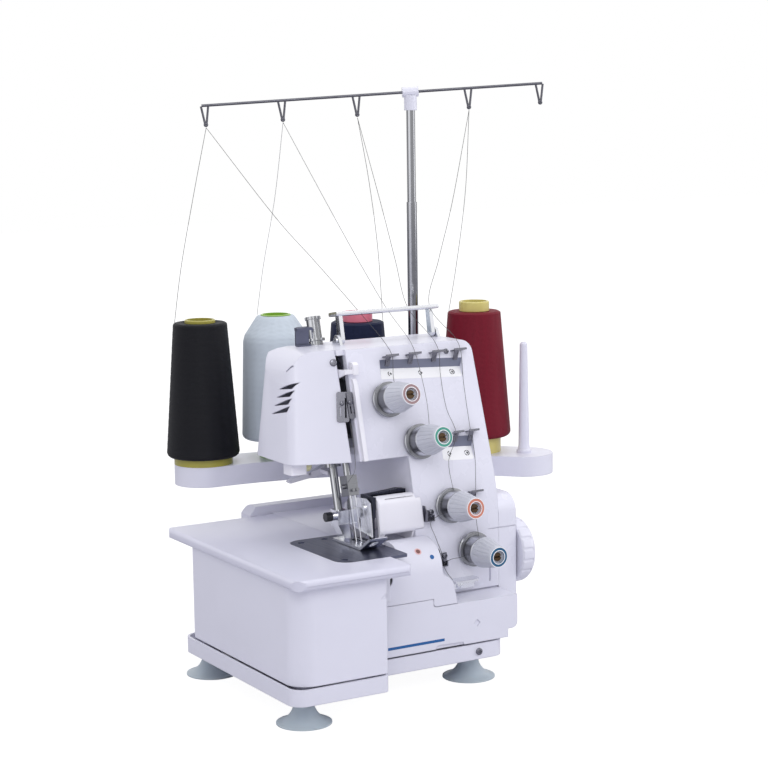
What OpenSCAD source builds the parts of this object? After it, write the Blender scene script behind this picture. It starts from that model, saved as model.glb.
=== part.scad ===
// Four-thread overlock sewing machine with a curved spool stand and a telescopic thread mast.
// Every size is in millimetres. The pieces are laid out from the centre of the front left foot,
// X to the right, Y to the back and Z up; placed() then centres the whole machine on the origin.

/* [Feet and base] */
// Diameter of a suction foot
foot_d = 50; // [44:1:54]
// Diameter of the neck of a suction foot
foot_neck_d = 26; // [20:1:30]
// Height of the base tray's underside above the table
foot_h = 24; // [20:1:30]
// Distance between the left and the right feet
foot_span_x = 200; // [190:1:206]
// Distance between the front and the rear left feet
foot_span_y = 185; // [175:1:190]
// How far the front right foot is set back
foot_step_y = 40.5; // [36:0.5:46]
// Height of the base tray's rim
base_h = 15; // [12:1:18]
// Reach of the base tray past the left feet
base_side = 24.5; // [23:0.5:26]
// Reach of the base tray in front of the front left foot
base_front = 30; // [28:1:32]

/* [Work table] */
// Height of the sewing surface
table_z = 138; // [136:0.5:142]
// Thickness of the cloth plate's rim
table_rim = 10; // [8:0.5:12]
// Depth of the cloth plate from front to back
table_depth = 269; // [262:1:274]
// Width of the extension table's box
box_w = 92.6; // [90:0.2:94]
// Wall of the plastic mouldings
wall = 2.5; // [2:0.1:3]
// Width of the needle plate
plate_w = 70; // [66:1:72]
// Depth of the needle plate
plate_d = 106; // [100:1:108]
// Thickness of the needle plate
plate_t = 2.6; // [2:0.1:3]

/* [Upright and head] */
// Front face of the upright, measured from the front left foot
front_y = 46; // [44:0.5:50]
// Angle at which the head leans back
lean = 13.8; // [12:0.2:15]
// Height of the head's underside
head_z = 216; // [212:1:218]
// Height of the head's top
top_z = 317; // [312:1:320]
// Right side of the upright
right_x = 239; // [236:0.5:244]
// Width of the upright
column_w = 93; // [88:1:98]
// Rear face of the head
rear_y = 166; // [160:1:167]
// Thickness of the front panel
panel_t = 3; // [2.4:0.1:3.6]
// Width of the belt cover on the right
belt_w = 19; // [16:1:22]
// Left end of the head
head_left = 31; // [28:1:34]

/* [Tension dials] */
// Largest diameter of a dial's knob
knob_d = 29; // [26:0.5:30]
// Diameter at the front of a dial's knob
knob_front_d = 20; // [19:0.5:22]
// Length of a dial's knob
knob_len = 25; // [22:0.5:28]
// Diameter of the tension discs
disc_d = 33; // [30:0.5:34]
// Number of grip flutes on a knob
flutes = 20; // [14:1:24]

/* [Needle, foot and hand wheel] */
// Diameter of the needle bar
needle_bar_d = 6.4; // [6:0.1:7]
// Diameter of the presser bar
presser_bar_d = 8; // [7.4:0.1:8.4]
// Width of the presser foot's sole
sole_w = 18.5; // [17:0.5:20]
// Diameter of the hand wheel
wheel_d = 64; // [58:1:68]
// Thickness of the hand wheel
wheel_t = 17; // [14:0.5:20]

/* [Thread stand] */
// Radius of the stand's centre line
stand_r = 380; // [374:1:386]
// Gap between the stand and the head's rear right corner
stand_gap = 5.8; // [4:0.2:8]
// Gap between the last cone and the upright's side
cone_gap = 16.8; // [14:0.2:20]
// Width of the stand
stand_w = 58; // [54:1:62]
// Height of the stand's rim
stand_h = 20; // [18:0.5:24]
// Height of the stand's top face
stand_z = 190; // [188:0.5:194]
// Height of a spool pin above the stand
pin_h = 112; // [104:1:118]
// Height of a wound cone
cone_h = 128; // [120:1:132]
// Diameter of a wound cone at its foot
cone_d = 72; // [66:0.5:76]
// Diameter of a wound cone at its top
cone_top_d = 52; // [48:0.5:56]
// Outer diameter of the mast's lower tube
mast_d = 10.4; // [9.6:0.1:11]
// Height of the lower tube's end
mast_joint_z = 442; // [430:1:450]
// Height of the mast's tip
mast_top_z = 556; // [548:1:562]
// Angle by which the thread bar sits out of level
bar_tilt = 2.9; // [0:0.1:3]

/* [Hidden] */

run_gap = 0.05;              // radial clearance of a shaft in its bore
seat_gap = 0.3;              // clearance between pieces that move past each other
arc_n = 8;                   // flats on a quarter of a moulded corner
screw_r = 3.4;               // head of a case screw
end_screw = [15.4, 306];      // screw of the end cover: from the slot, and its height

// Base and table
base_z = foot_h;
deck_z = base_z + base_h;
base_left = -base_side;
base_right = foot_span_x + base_side;
base_rear = foot_span_y + 13;
step_x = 72;                 // where the tray's front steps back
step_y = 13;                 // front of the tray right of the step
box_left = base_left + 3.5;
box_right = box_left + box_w;
box_front = -base_front + 3;
box_rear = foot_span_y + 1;
table_left = base_left - 0.5;
table_right = box_right + 20.4;
table_front = -base_front - 8;
table_rear = table_front + table_depth;
rim_z = table_z - table_rim;
plate_left = 41.4;
plate_front = 2;
plate_bottom = table_z - plate_t;
plate_corner = 14;
inset_gap = 0.4;             // gap between the needle plate and the cloth plate

// Upright and head
bend_lo = 140;               // the front face starts to lean back here
bend_hi = 204;               // and is straight again from here on
column_left = right_x - column_w;
panel_left = 94;
slot_left = 86;              // left side of the take-up slot
slot_top = 312;
panel_foot = 82;
ledge_z = 81;                // top of the looper cover's shelf
cover_front = 12;
cover_top = 89;
belt_right = right_x + 1 + belt_w;
belt_top = 169;
seam_z = table_z + 0.4;      // seam across the upright and the belt cover
bar_x = 94;                  // needle bar and presser bar stand in this plane
needle_y = 85;               // where the needle bar's axis leaves the head
presser_y = 112;
feed_x = [bar_x - 8.8, bar_x + 4.2];
knife_x = 102.2;             // left face of the upper knife
shaft_y = 68;
shaft_z = 110;
shaft_r = 6;

// Thread stand
stand_cx = 37.5;
stand_cy = rear_y + stand_gap - sqrt(pow(stand_r - stand_w / 2, 2) - pow(right_x - stand_cx, 2));
cone_4_angle = acos((right_x + cone_d / 2 + cone_gap - stand_cx) / stand_r);
pin_angles = [90.5, 78.4, 65.8, cone_4_angle, cone_4_angle - 7.6];
mast_angle = 57.3;
mast_x = stand_cx + stand_r * cos(mast_angle);
mast_y = stand_cy + stand_r * sin(mast_angle);
bar_turn = -24.8;            // the thread bar runs along the stand's chord
hook_at = [-204, -128, -54, 58, 130];
cone_colors = ["#15151d", "#cfdbe4", "#17214a", "#7d1230"];
dial_colors = ["#a98f96", "#3fb6a0", "#df8868", "#1f6f93"];
pin_r = 5.5;

// Middle of the finished machine
left_x = table_left;
right_end_x = mast_x + (hook_at[4] + 4) * cos(bar_turn);
rear_end_y = stand_cy + stand_r + max(stand_w, cone_d) / 2;
mid_x = (left_x + right_end_x) / 2;
mid_y = (table_front + rear_end_y) / 2;

clip_x = [139.3, 164.2, 190.2, 214.4];
clip_z = 307;
// Recesses that hold the colour labels: left, right, top, height
label_recess = [[129, 219, 303, 18.6], [184, 219.5, 229, 23]];
label_turn = -3;             // they fall slightly to the right
label_depth = 4.6;
pedestal_r = 16;
// Dials: place across, height, and the tilt of the panel there
dial_at = [[130.7, 268.6], [158.3, 227.7], [184.1, 166.6], [208.1, 122.5]];

// ---- Outlines ----

function arc_pts(c, r, a0, a1, n = arc_n) =
    [for (i = [0:n]) c + r * [cos(a0 + (a1 - a0) * i / n), sin(a0 + (a1 - a0) * i / n)]];

// Rectangle with its own radius at each corner: front left, front right, rear right, rear left
function rounded(lo, hi, r) = concat(
    arc_pts([lo.x + r[0], lo.y + r[0]], r[0], 180, 270),
    arc_pts([hi.x - r[1], lo.y + r[1]], r[1], 270, 360),
    arc_pts([hi.x - r[2], hi.y - r[2]], r[2], 0, 90),
    arc_pts([lo.x + r[3], hi.y - r[3]], r[3], 90, 180));

// Front face of the upright: plumb below, a smooth bend, then a straight lean
function face_y(z) = z <= bend_lo ? front_y
    : z <= bend_hi ? front_y + tan(lean) * pow(z - bend_lo, 2) / (2 * (bend_hi - bend_lo))
    : front_y + tan(lean) * ((bend_hi - bend_lo) / 2 + z - bend_hi);
function face_tilt(z) = z <= bend_lo ? 0 : z >= bend_hi ? lean
    : atan(tan(lean) * (z - bend_lo) / (bend_hi - bend_lo));
function face_heights(z0, z1) = concat([z0],
    [for (i = [0:8]) let (z = bend_lo + (bend_hi - bend_lo) * i / 8) if (z > z0 && z < z1) z], [z1]);
function face_line(z0, z1, back = 0) = [for (z = face_heights(z0, z1)) [face_y(z) + back, z]];
function reversed(p) = [for (i = [len(p) - 1:-1:0]) p[i]];
function on_ring(a, r = stand_r) = [stand_cx + r * cos(a), stand_cy + r * sin(a)];

module prism_z(p, z0, z1) { translate([0, 0, z0]) linear_extrude(z1 - z0) polygon(p); }
// Outline in X and Z, from y0 back to y1
module prism_y(p, y0, y1) {
    translate([0, y1, 0]) rotate([90, 0, 0]) linear_extrude(y1 - y0) polygon(p);
}
// Outline in Y and Z, from x0 to x1
module prism_x(p, x0, x1) {
    translate([x0, 0, 0]) rotate([90, 0, 90]) linear_extrude(x1 - x0) polygon(p);
}
module block(lo, hi) { translate(lo) cube(hi - lo); }
module placed() { translate([-mid_x, -mid_y, 0]) children(); }
// A frame whose Z axis runs up the leaning head
module leaning(x, y, z = head_z) { translate([x, y, z]) rotate([-lean, 0, 0]) children(); }
// A frame on the front face whose Z axis points out of it
module on_face(x, z) { translate([x, face_y(z), z]) rotate([90 - face_tilt(z), 0, 0]) children(); }

// ---- Base and feet ----

function base_outline(inset = 0) = concat(
    arc_pts([base_left + 14, -base_front + 14], 14 - inset, 180, 270),
    arc_pts([step_x - 6, -base_front + 6], 6 - inset, 270, 360),
    [[step_x - inset, step_y + inset]],
    arc_pts([base_right - 14, step_y + 14], 14 - inset, 270, 360),
    arc_pts([base_right - 14, base_rear - 14], 14 - inset, 0, 90),
    arc_pts([base_left + 14, base_rear - 14], 14 - inset, 90, 180));

module base_tray() {
    color("#e6e5f0") difference() {
        prism_z(base_outline(), base_z, deck_z);
        prism_z(base_outline(wall), base_z + wall, deck_z + 1);
        for (f = feet_at()) translate([f.x, f.y, base_z - 1]) cylinder(r = 4 + run_gap, h = wall + 2, $fn = 32);
    }
    color("#e6e5f0") for (f = feet_at()) translate([f.x, f.y, base_z + wall]) difference() {
        cylinder(r = 9, h = base_h - wall, $fn = 40);
        translate([0, 0, -1]) cylinder(r = 4 + run_gap, h = base_h, $fn = 32);
    }
}

function feet_at() = [[0, 0], [0, foot_span_y], [foot_span_x, foot_step_y], [foot_span_x, foot_span_y]];

module suction_feet() {
    color("#b9c6cc") for (f = feet_at()) translate([f.x, f.y, 0]) rotate_extrude($fn = 64) polygon(concat(
        [[0, 2.5], [foot_d / 2 - 9, 0.9], [foot_d / 2 - 2, 0], [foot_d / 2, 0], [foot_d / 2, 1.2]],
        arc_pts([foot_d / 2 + 3, 20], 19, 252, 188, 8),
        [[foot_neck_d / 2, base_z - 4], [foot_neck_d / 2, base_z - 1], [7, base_z - 1], [7, base_z],
        [4, base_z], [4, base_z + wall + 6], [0, base_z + wall + 6]]));
}

// ---- Lower body ----

side_lean = 7.2;             // the end cover narrows upwards by this angle
end_turn = 17.2;             // its front turns back by this angle
arm_x = slot_left + 0.5;     // plane of the take-up arm
motor_rear = 252;
motor_right = right_x + 12;
roof_z = table_z - 0.2;      // top of the lower housing

looper_lo = [100, cover_front + wall, 50];
looper_hi = [164, 104, 126];

module lower_housing() {
    motor_left = 68;
    color("#dcdbe8") difference() {
        union() {
            block([table_right + 0.6, front_y + panel_t, deck_z], [right_x, base_rear - 2, roof_z]);
            // Free arm under the needle plate
            prism_z(rounded([plate_left + 1.6, plate_front + 1], [table_right + 0.7, plate_front + plate_d - 2],
                [plate_corner, 1, 1, plate_corner]), 96, plate_bottom);
            block([table_right - 14, front_y + panel_t, deck_z], [table_right + 0.7, base_rear - 2, rim_z - 1]);
            // Motor housing behind the table
            prism_x(concat([[base_rear - 12, deck_z + 8]], arc_pts([motor_rear - 16, deck_z + 24], 16, 270, 360),
                arc_pts([motor_rear - 7, table_z + 1], 7, 0, 90),
                [[table_rear + 1, table_z + 8], [table_rear + 1, rim_z - 1], [base_rear - 12, rim_z - 1]]),
                motor_left, motor_right);
            block([table_right + 0.6, base_rear - 12, deck_z + 8], [motor_right, table_rear + 1, roof_z]);
        }
        // Slanted left shoulder of the motor housing
        prism_y([[motor_left - 1, table_z + 9], [motor_left - 1, table_z - 2], [motor_left + 7, table_z + 9]],
            table_rear, motor_rear + 1);
        // Seat of the needle plate
        block([table_right - 5, plate_front - 1, plate_bottom], [plate_left + plate_w + 0.5,
            plate_front + plate_d + 0.5, table_z + 1]);
        // Looper chamber, and the well above it for needles, feed dogs and knives
        block(looper_lo, looper_hi);
        block([80, 40, 104], [looper_lo.x + 1, 92, table_z + 1]);
        block([looper_lo.x - 1, 40, looper_hi.z - 1], [111, 92, table_z + 1]);
        // Room for the foot of the thread stand
        translate([mast_x - 8, mast_y, roof_z]) cylinder(r = pedestal_r + seat_gap, h = 40, $fn = 64);
        // Seat of the lowest dial's bolt
        on_dial(3) translate([0, 0, -14]) cylinder(r = 4 + seat_gap, h = 16, $fn = 40);
        // Bore for the main shaft
        translate([looper_hi.x - 1, shaft_y, shaft_z]) rotate([0, 90, 0])
            cylinder(r = shaft_r + run_gap, h = right_x - looper_hi.x + 3, $fn = 48);
    }
}

// Right edge of the bed's shoulder: plumb beside the guard, then round a corner and down
function flank_line(gap, low, top) = concat([[column_left + 24.6 + gap, low]],
    arc_pts([column_left + 6.5, cover_top + 6], 15 + gap, 0, 68, 6),
    [[column_left + 9.2 + gap, cover_top + 21.5], [column_left + 8.3 + gap, cover_top + 25],
    [column_left + 8.3 + gap, top]]);
tab_left = column_left - 1.7;    // the shoulder's lower edge steps down here
tab_low = ledge_z + 0.6;

// Rounded shoulder of the bed right of the table, in front of the upright
module front_block() {
    back = front_y + panel_t;
    color("#e4e3ef") difference() {
        prism_x(concat([[cover_front, tab_low], [cover_front, table_z - 24]],
            arc_pts([cover_front + 28, table_z - 24], 28, 180, 96),
            [[back, table_z + 4.2], [back, tab_low]]), step_x + 3, column_left + 25);
        // Lower edge, with the step down to the looper cover's notch
        prism_y(concat([[step_x, tab_low - 1], [tab_left + 3, tab_low - 1]], arc_pts([tab_left + 3, tab_low + 3], 3, 270, 180),
            [[tab_left, cover_top], [step_x, cover_top]]), cover_front - 1, back + 1);
        block([104.8, front_y - 2.3, table_z - 0.1], [right_x, back + 1, table_z + 10]);
        block([column_left - 0.2, front_y - 0.2, table_z - 0.3], [right_x, back + 1, table_z + 10]);
        block([step_x, cover_front + wall, tab_low - 1], [looper_hi.x - 4, back + 1, looper_hi.z - 6]);
        // Clear of the cloth plate, the arm and the needle plate
        block([step_x, -50, rim_z - 1], [table_right + inset_gap, front_y + 10, table_z + 10]);
        block([step_x, plate_front - 1, 95], [table_right + 1, front_y + 10, table_z + 10]);
        block([step_x, plate_front - 0.5, plate_bottom - 1], [plate_left + plate_w + 0.5, front_y + 10, table_z + 10]);
        block([step_x, back - 2, looper_hi.z - 8], [plate_left + plate_w - 11, back + 1, plate_bottom]);
        // Right flank beside the looper thread guides
        prism_y(concat(flank_line(0, tab_low - 1, table_z + 5), [[column_left + 40, table_z + 5],
            [column_left + 40, tab_low - 1]]), cover_front - 1, back + 1);
        // Finger slot of the table's catch
        prism_y(concat(arc_pts([94, 113], 6.5, -70, 20, 5), arc_pts([94, 113], 3.5, 20, -70, 5)),
            cover_front - 1, cover_front + wall + 1);
    }
}

// Raised guard beside the presser foot
module knife_guard() {
    lo = [105.2, front_y - 2, table_z + 5];
    hi = [column_left + 7, 112, 183];
    inner = [lo.x + wall + 6, lo.y + wall, lo.z - 1];
    color("#efeef7") difference() {
        intersection() {
            prism_z(rounded([lo.x, lo.y], [hi.x + 8, hi.y], [3, 8, 10, 6]), table_z - 2, hi.z);
            prism_x(concat([[lo.y + 6, table_z + 0.2]], arc_pts([lo.y + 8, lo.z + 10], 8, 235, 180, 5),
                arc_pts([lo.y + 9, hi.z - 9], 9, 180, 90), arc_pts([hi.y - 12, hi.z - 24], 12, 80, 0),
                [[hi.y, table_z + 0.2]]), lo.x, hi.x + 8);
            prism_y(concat([[lo.x + 2.5, table_z], [lo.x, hi.z - 2], [lo.x + 2, hi.z]],
                arc_pts([hi.x - 9, hi.z - 7], 7, 90, 6), [[hi.x + 3.6, table_z]]), lo.y - 1, hi.y + 1);
        }
        block([column_left - 0.3, face_y(hi.z) - 4.2, table_z - 1], [hi.x + 10, hi.y + 1, hi.z + 1]);
        block([inner.x, inner.y, table_z - 1], [column_left - wall, hi.y - wall, hi.z - wall]);
        block([lo.x - 1, front_y + 2, table_z - 1], [lo.x + wall + 7, hi.y - 30, hi.z - 12]);
        // Open behind its brow, where the knife's arm moves
        block([lo.x - 1, lo.y + 15, hi.z - 14], [hi.x + 10, hi.y + 1, hi.z + 1]);
    }
}

// ---- Looper cover ----

cover_left = box_right + 3.4;
cover_right = right_x - 2;
cover_hinge = [cover_front + 4, deck_z + 6];

module looper_cover() {
    notch = column_left - 1.1;
    shelf_left = column_left + 25.4;
    low = deck_z + 1.8;
    color("#e4e3ef") difference() {
        union() {
            prism_y(concat([[cover_left, low], [base_right + 2, low], [base_right + 2, low + 8]],
                arc_pts([cover_right - 6, low + 14], 6, 270, 360),
                [[cover_right, ledge_z], [notch + 5, ledge_z]], arc_pts([notch + 2, ledge_z + 3], 3, 270, 180, 4),
                [[notch - 1, cover_top - 0.4], [cover_left, cover_top - 0.4]]),
                cover_front, cover_front + wall);
            // Shelf between the cover and the upright
            block([shelf_left, cover_front, ledge_z - wall], [cover_right, front_y - 0.6, ledge_z]);
            // Stiffening ribs
            for (x = [shelf_left + 3, cover_right - 5])
                prism_x([[cover_front + 1, low + 9], [cover_front + 1, ledge_z - 1], [front_y - 3, ledge_z - 1]], x, x + 2);
            // Hinge lugs
            for (x = [cover_left + 30, base_right - 30]) translate([x, cover_hinge.x, cover_hinge.y])
                rotate([0, 90, 0]) cylinder(r = 3.6, h = 12, $fn = 32);
        }
        for (x = [cover_left + 29, base_right - 31]) translate([x, cover_hinge.x, cover_hinge.y])
            rotate([0, 90, 0]) cylinder(r = 1.5 + run_gap, h = 14, $fn = 24);
        // Finger recess at the lower edge, and the diamond grip
        prism_y(concat([[146, low - 1]], arc_pts([150, low - 0.5], 4, 180, 100, 4), [[176, low + 2.6], [178, low - 1]]),
            cover_front - 1, cover_front + 1.6);
        translate([192, cover_front - 0.5, 59.5]) rotate([-90, 0, 0]) cylinder(r = 3.4, h = 1.7, $fn = 4);
    }
}

// ---- Extension table ----

module side_cover() {
    lo = [box_left, box_front];
    hi = [box_right, box_rear];
    color("#dddceb") difference() {
        prism_z(rounded(lo, hi, [20, 2, 2, 10]), deck_z + 1, rim_z);
        prism_z(rounded(lo + [wall, wall], [hi.x + 5, hi.y - wall], [17.5, 1, 1, 7.5]), deck_z + 1 + wall, rim_z + 1);
        // Open where the box slides over the arm
        block([hi.x - 18, lo.y + wall, deck_z], [hi.x + 1, hi.y - wall, rim_z + 1]);
        prism_y([[65, 108.5], [70.5, 108.5], [70.5, 113.5]], box_front - 1, box_front + 0.6);
    }
}

module cloth_plate() {
    lo = [table_left, table_front];
    hi = [table_right, table_rear];
    skin = 4;
    rim = 7;
    color("#cfcfdd") difference() {
        intersection() {
            prism_z(rounded(lo, hi, [14, 6, 8, 12]), rim_z, table_z);
            prism_x(concat(arc_pts([lo.y + 5, rim_z + 4], 4, 180, 270, 5), arc_pts([hi.y - 5, rim_z + 4], 4, 270, 360, 5),
                arc_pts([hi.y - 5, table_z - 5], 5, 0, 90, 5), arc_pts([lo.y + 5, table_z - 5], 5, 90, 180, 5)),
                lo.x - 1, hi.x + 1);
            prism_y(concat(arc_pts([lo.x + 4, rim_z + 4], 4, 180, 270, 5), [[hi.x, rim_z], [hi.x, table_z]],
                arc_pts([lo.x + 5, table_z - 5], 5, 90, 180, 5)), lo.y - 1, hi.y + 1);
        }
        // Hollow underside, with the seat for the box's rim
        difference() {
            prism_z(rounded(lo + [rim, rim + 8], hi - [2, rim + 8], [10, 4, 6, 8]), rim_z - 1, table_z - skin);
            block([box_left + wall + 0.2, 40, rim_z - 1], [box_left + wall + 2.2, 160, table_z]);
        }
        // Cut-out around the needle plate, open to the right
        prism_z(rounded([plate_left - inset_gap, plate_front - inset_gap], [hi.x + 30, plate_front + plate_d + inset_gap],
            [plate_corner, 1, 1, plate_corner]), rim_z - 1, table_z + 1);
    }
}

module needle_plate() {
    lo = [plate_left, plate_front];
    hi = lo + [plate_w, plate_d];
    color("#5c6076") difference() {
        prism_z(rounded(lo, hi, [plate_corner, 3, 3, plate_corner]), plate_bottom, table_z);
        // Needle slot, feed slots and the knife slot
        block([bar_x - 4.4, 57, plate_bottom - 1], [bar_x + 4.4, 70, table_z + 1]);
        for (x = feed_x) block([x - 0.7, 48, plate_bottom - 1], [x + 2.1, 89, table_z + 1]);
        block([knife_x - 2.6, 46, plate_bottom - 1], [knife_x + 3.4, 66, table_z + 1]);
        for (p = [[52, 14], [52, 96], [78, 98]]) translate([p.x, p.y, table_z - 1.2]) cylinder(r = 3.2, h = 2, $fn = 32);
    }
}

// ---- Feeding, cutting and looping ----

module feed_dogs() {
    color("#9a9ca6") {
        for (x = feed_x) prism_x(concat([[50, 120], [50, plate_bottom - 1.2]],
            [for (i = [0:10]) each [[51 + i * 3, table_z - 0.9], [52.2 + i * 3, table_z - 0.1]]],
            [[84, plate_bottom - 1.2], [84, 120]]), x, x + 1.4);
        block([feed_x[0], 72, 112], [feed_x[1] + 1.4, 84, 120.5]);
    }
}

module upper_knife() {
    color("#3a3b44") {
        block([knife_x, 49, table_z - 6], [knife_x + 1.9, 56, table_z + 42]);
        block([knife_x - 0.8, 47.5, table_z + 26], [knife_x + 2.3, 59, table_z + 45]);
        // Arm that carries the knife, behind the guard's brow
        block([knife_x - 0.8, 56, table_z + 38], [knife_x + 2.3, 70, table_z + 45]);
        prism_y([[knife_x, table_z + 38.6], [knife_x, table_z + 45], [127, table_z + 46.6], [138, table_z + 47.6],
            [column_left - 0.8, table_z + 46.6], [column_left - 0.6, table_z + 38.6]], 62, 69);
    }
}

module lower_knife() {
    color("#80838e") difference() {
        block([looper_lo.x, front_y + panel_t + 0.4, looper_hi.z - 34], [knife_x - 0.8, 62, table_z - 0.4]);
        translate([looper_lo.x - 1, 55, looper_hi.z - 27]) rotate([0, 90, 0]) cylinder(r = 1.6, h = 4, $fn = 24);
    }
}

upper_looper_pivot = [74, 92];
lower_looper_pivot = [94, 66];

module upper_looper() {
    color("#a4a7b2") {
        translate([112, upper_looper_pivot.x, upper_looper_pivot.y]) rotate([0, 90, 0]) difference() {
            cylinder(r = 6, h = 8, $fn = 40);
            translate([0, 0, -1]) cylinder(r = 3 + run_gap, h = 10, $fn = 32);
        }
        prism_x([[68, 94], [56, 106], [53, 121], [56, 122], [60, 108], [72, 97]], 113, 116);
    }
}

module lower_looper() {
    color("#a4a7b2") {
        translate([124, lower_looper_pivot.x, lower_looper_pivot.y]) rotate([0, 90, 0]) difference() {
            cylinder(r = 6, h = 8, $fn = 40);
            translate([0, 0, -1]) cylinder(r = 3 + run_gap, h = 10, $fn = 32);
        }
        prism_x([[90, 71], [80, 84], [76, 99], [79.5, 100], [84, 86], [97, 72]], 125, 128);
    }
}

module looper_shafts() {
    color("#8f929c") for (p = [upper_looper_pivot, lower_looper_pivot]) translate([looper_lo.x, p.x, p.y])
        rotate([0, 90, 0]) {
            cylinder(r = 3, h = looper_hi.x - looper_lo.x, $fn = 32);
            cylinder(r = 5, h = p == upper_looper_pivot ? 11.6 : 23.6, $fn = 32);
        }
}

module main_shaft() {
    color("#b4b7c0") translate([0, shaft_y, shaft_z]) rotate([0, 90, 0]) {
        translate([0, 0, 144]) cylinder(r = shaft_r, h = belt_right + 14 - 144, $fn = 48);
        translate([0, 0, 150]) cylinder(r = 9, h = 7, $fn = 48);
    }
}

module handwheel() {
    inner = belt_right + 2;
    color("#e2e1ee") translate([inner, shaft_y, shaft_z]) rotate([0, 90, 0]) difference() {
        rotate_extrude($fn = 96) polygon(concat([[shaft_r + 6, 0], [wheel_d / 2 - 1.5, 0], [wheel_d / 2, 1.5]],
            arc_pts([wheel_d / 2 - 7, wheel_t - 7], 7, 0, 80, 6),
            [[wheel_d / 2 - 12, wheel_t - 1.5], [14, wheel_t - 1], [12, wheel_t + 1], [0, wheel_t + 1], [0, wheel_t - 4],
            [shaft_r + 6, wheel_t - 4]]));
        for (a = [0:20:340]) rotate(a) translate([wheel_d / 2 + 1.6, 0, -1]) cylinder(r = 2.4, h = wheel_t - 4, $fn = 24);
    }
    color("#e2e1ee") translate([inner, shaft_y, shaft_z]) rotate([0, 90, 0]) difference() {
        cylinder(r = shaft_r + 6, h = wheel_t - 4, $fn = 48);
        translate([0, 0, -1]) cylinder(r = shaft_r, h = wheel_t, $fn = 48);
    }
}

module belt_cover() {
    color("#dfdeea") difference() {
        prism_x(concat([[front_y, deck_z + 3], [160, deck_z + 3]], arc_pts([138, belt_top - 22], 22, 0, 90),
            arc_pts([front_y + 17, belt_top - 17], 17, 90, 180)), right_x, belt_right);
        prism_x(concat([[front_y + wall, deck_z + 6], [157, deck_z + 6]], arc_pts([138, belt_top - 22], 19, 0, 90),
            arc_pts([front_y + 17, belt_top - 17], 14, 90, 180)), right_x - 1, belt_right - wall);
        block([right_x - 1, front_y - 1, seam_z - 0.3], [belt_right + 1, front_y + 0.8, seam_z + 0.3]);
        translate([belt_right - wall - 1, shaft_y, shaft_z]) rotate([0, 90, 0])
            cylinder(r = shaft_r + 7, h = wall + 2, $fn = 48);
        // Socket for the foot control's lead
        block([belt_right - 9, 128, 58], [belt_right + 1, 152, 74]);
        // Opening of the rocker switch
        block([belt_right - wall - 1, 134, 86], [belt_right + 1, 148, 108]);
    }
}

// Recessed socket with its two contact pins
module power_socket() {
    color("#2a2a30") translate([belt_right - 10.5, 140, 66]) rotate([0, 90, 0]) {
        difference() {
            translate([-8, -12, 0]) cube([16, 24, 10.3]);
            translate([-6, -10, 1.5]) cube([12, 20, 10]);
        }
        for (y = [-5, 5]) translate([0, y, 1]) cylinder(r = 1.2, h = 7, $fn = 24);
    }
}

switch_pivot = [141, 97];

// Rocker with a round back, centred on its pivot
module power_switch() {
    x = belt_right - wall;
    z = switch_pivot.y;
    color("#26262c") intersection() {
        translate([x, switch_pivot.x - 6.5, z]) rotate([-90, 0, 0]) cylinder(r = 8.7, h = 13, $fn = 64);
        prism_y([[x - 9, z - 9], [x - 9, z + 9], [x + 2.4, z + 9], [x + 1.2, z], [x + 3.4, z - 9]],
            switch_pivot.x - 7, switch_pivot.x + 7);
    }
}

// ---- Upright and head ----

function front_outline(x0, z0, inset = 0) = concat(
    [[x0, z0], [right_x, z0], [right_x, 168]],
    arc_pts([right_x - 7 - 12, top_z - 12], 12 - inset, 4, 90),
    [[x0, top_z]]);

chamber_right = 108;
chamber_back = 148;

module head_housing() {
    back = chamber_back;
    color("#dedde9") difference() {
        intersection() {
            prism_x(concat(reversed(face_line(table_z, top_z, panel_t)), [[rear_y, table_z]],
                arc_pts([rear_y - 22, top_z - 22], 22, 0, 90)), slot_left, right_x);
            prism_y(front_outline(slot_left, table_z), front_y, rear_y + 1);
        }
        // Open space under the head, left of the upright
        block([slot_left - 1, 0, table_z - 1], [column_left, rear_y + 1, head_z]);
        // Chamber for the needle bar and the presser bar
        prism_x(concat(reversed(face_line(head_z - 1, slot_top, 7)), [[back, head_z - 1]], [[back, top_z - 3]],
            [[face_y(top_z - 3) + 7, top_z - 3]]), slot_left - 1, chamber_right);
        prism_x(concat(reversed(face_line(head_z - 1, slot_top, -1)), [[face_y(head_z) + 12, head_z - 1]],
            [[face_y(slot_top) + 12, slot_top]]), slot_left - 1, panel_left);
        // Seats of the upper three dials' bolts
        for (i = [0:2]) on_dial(i) translate([0, 0, -14]) cylinder(r = 4 + seat_gap, h = 16, $fn = 40);
        // Bore for the pressure screw
        leaning(bar_x, presser_y) translate([0, 0, 90]) cylinder(r = 6.5 + seat_gap, h = 30, $fn = 48);
        for (r = label_recess) recess_back(r, 0.2);
    }
}

// A frame in the middle of a label recess's top edge, its Y axis up the panel
module in_recess(r) { on_face((r[0] + r[1]) / 2, r[2]) rotate([0, 0, label_turn]) children(); }
// The panel is thicker behind a recess
module recess_back(r, gap) {
    w = (r[1] - r[0]) / 2 + wall + gap;
    in_recess(r) block([-w, -r[3] - 1 - gap, -label_depth - 1.6 - gap], [w, 2 + gap, 1 - panel_t]);
}

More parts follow.
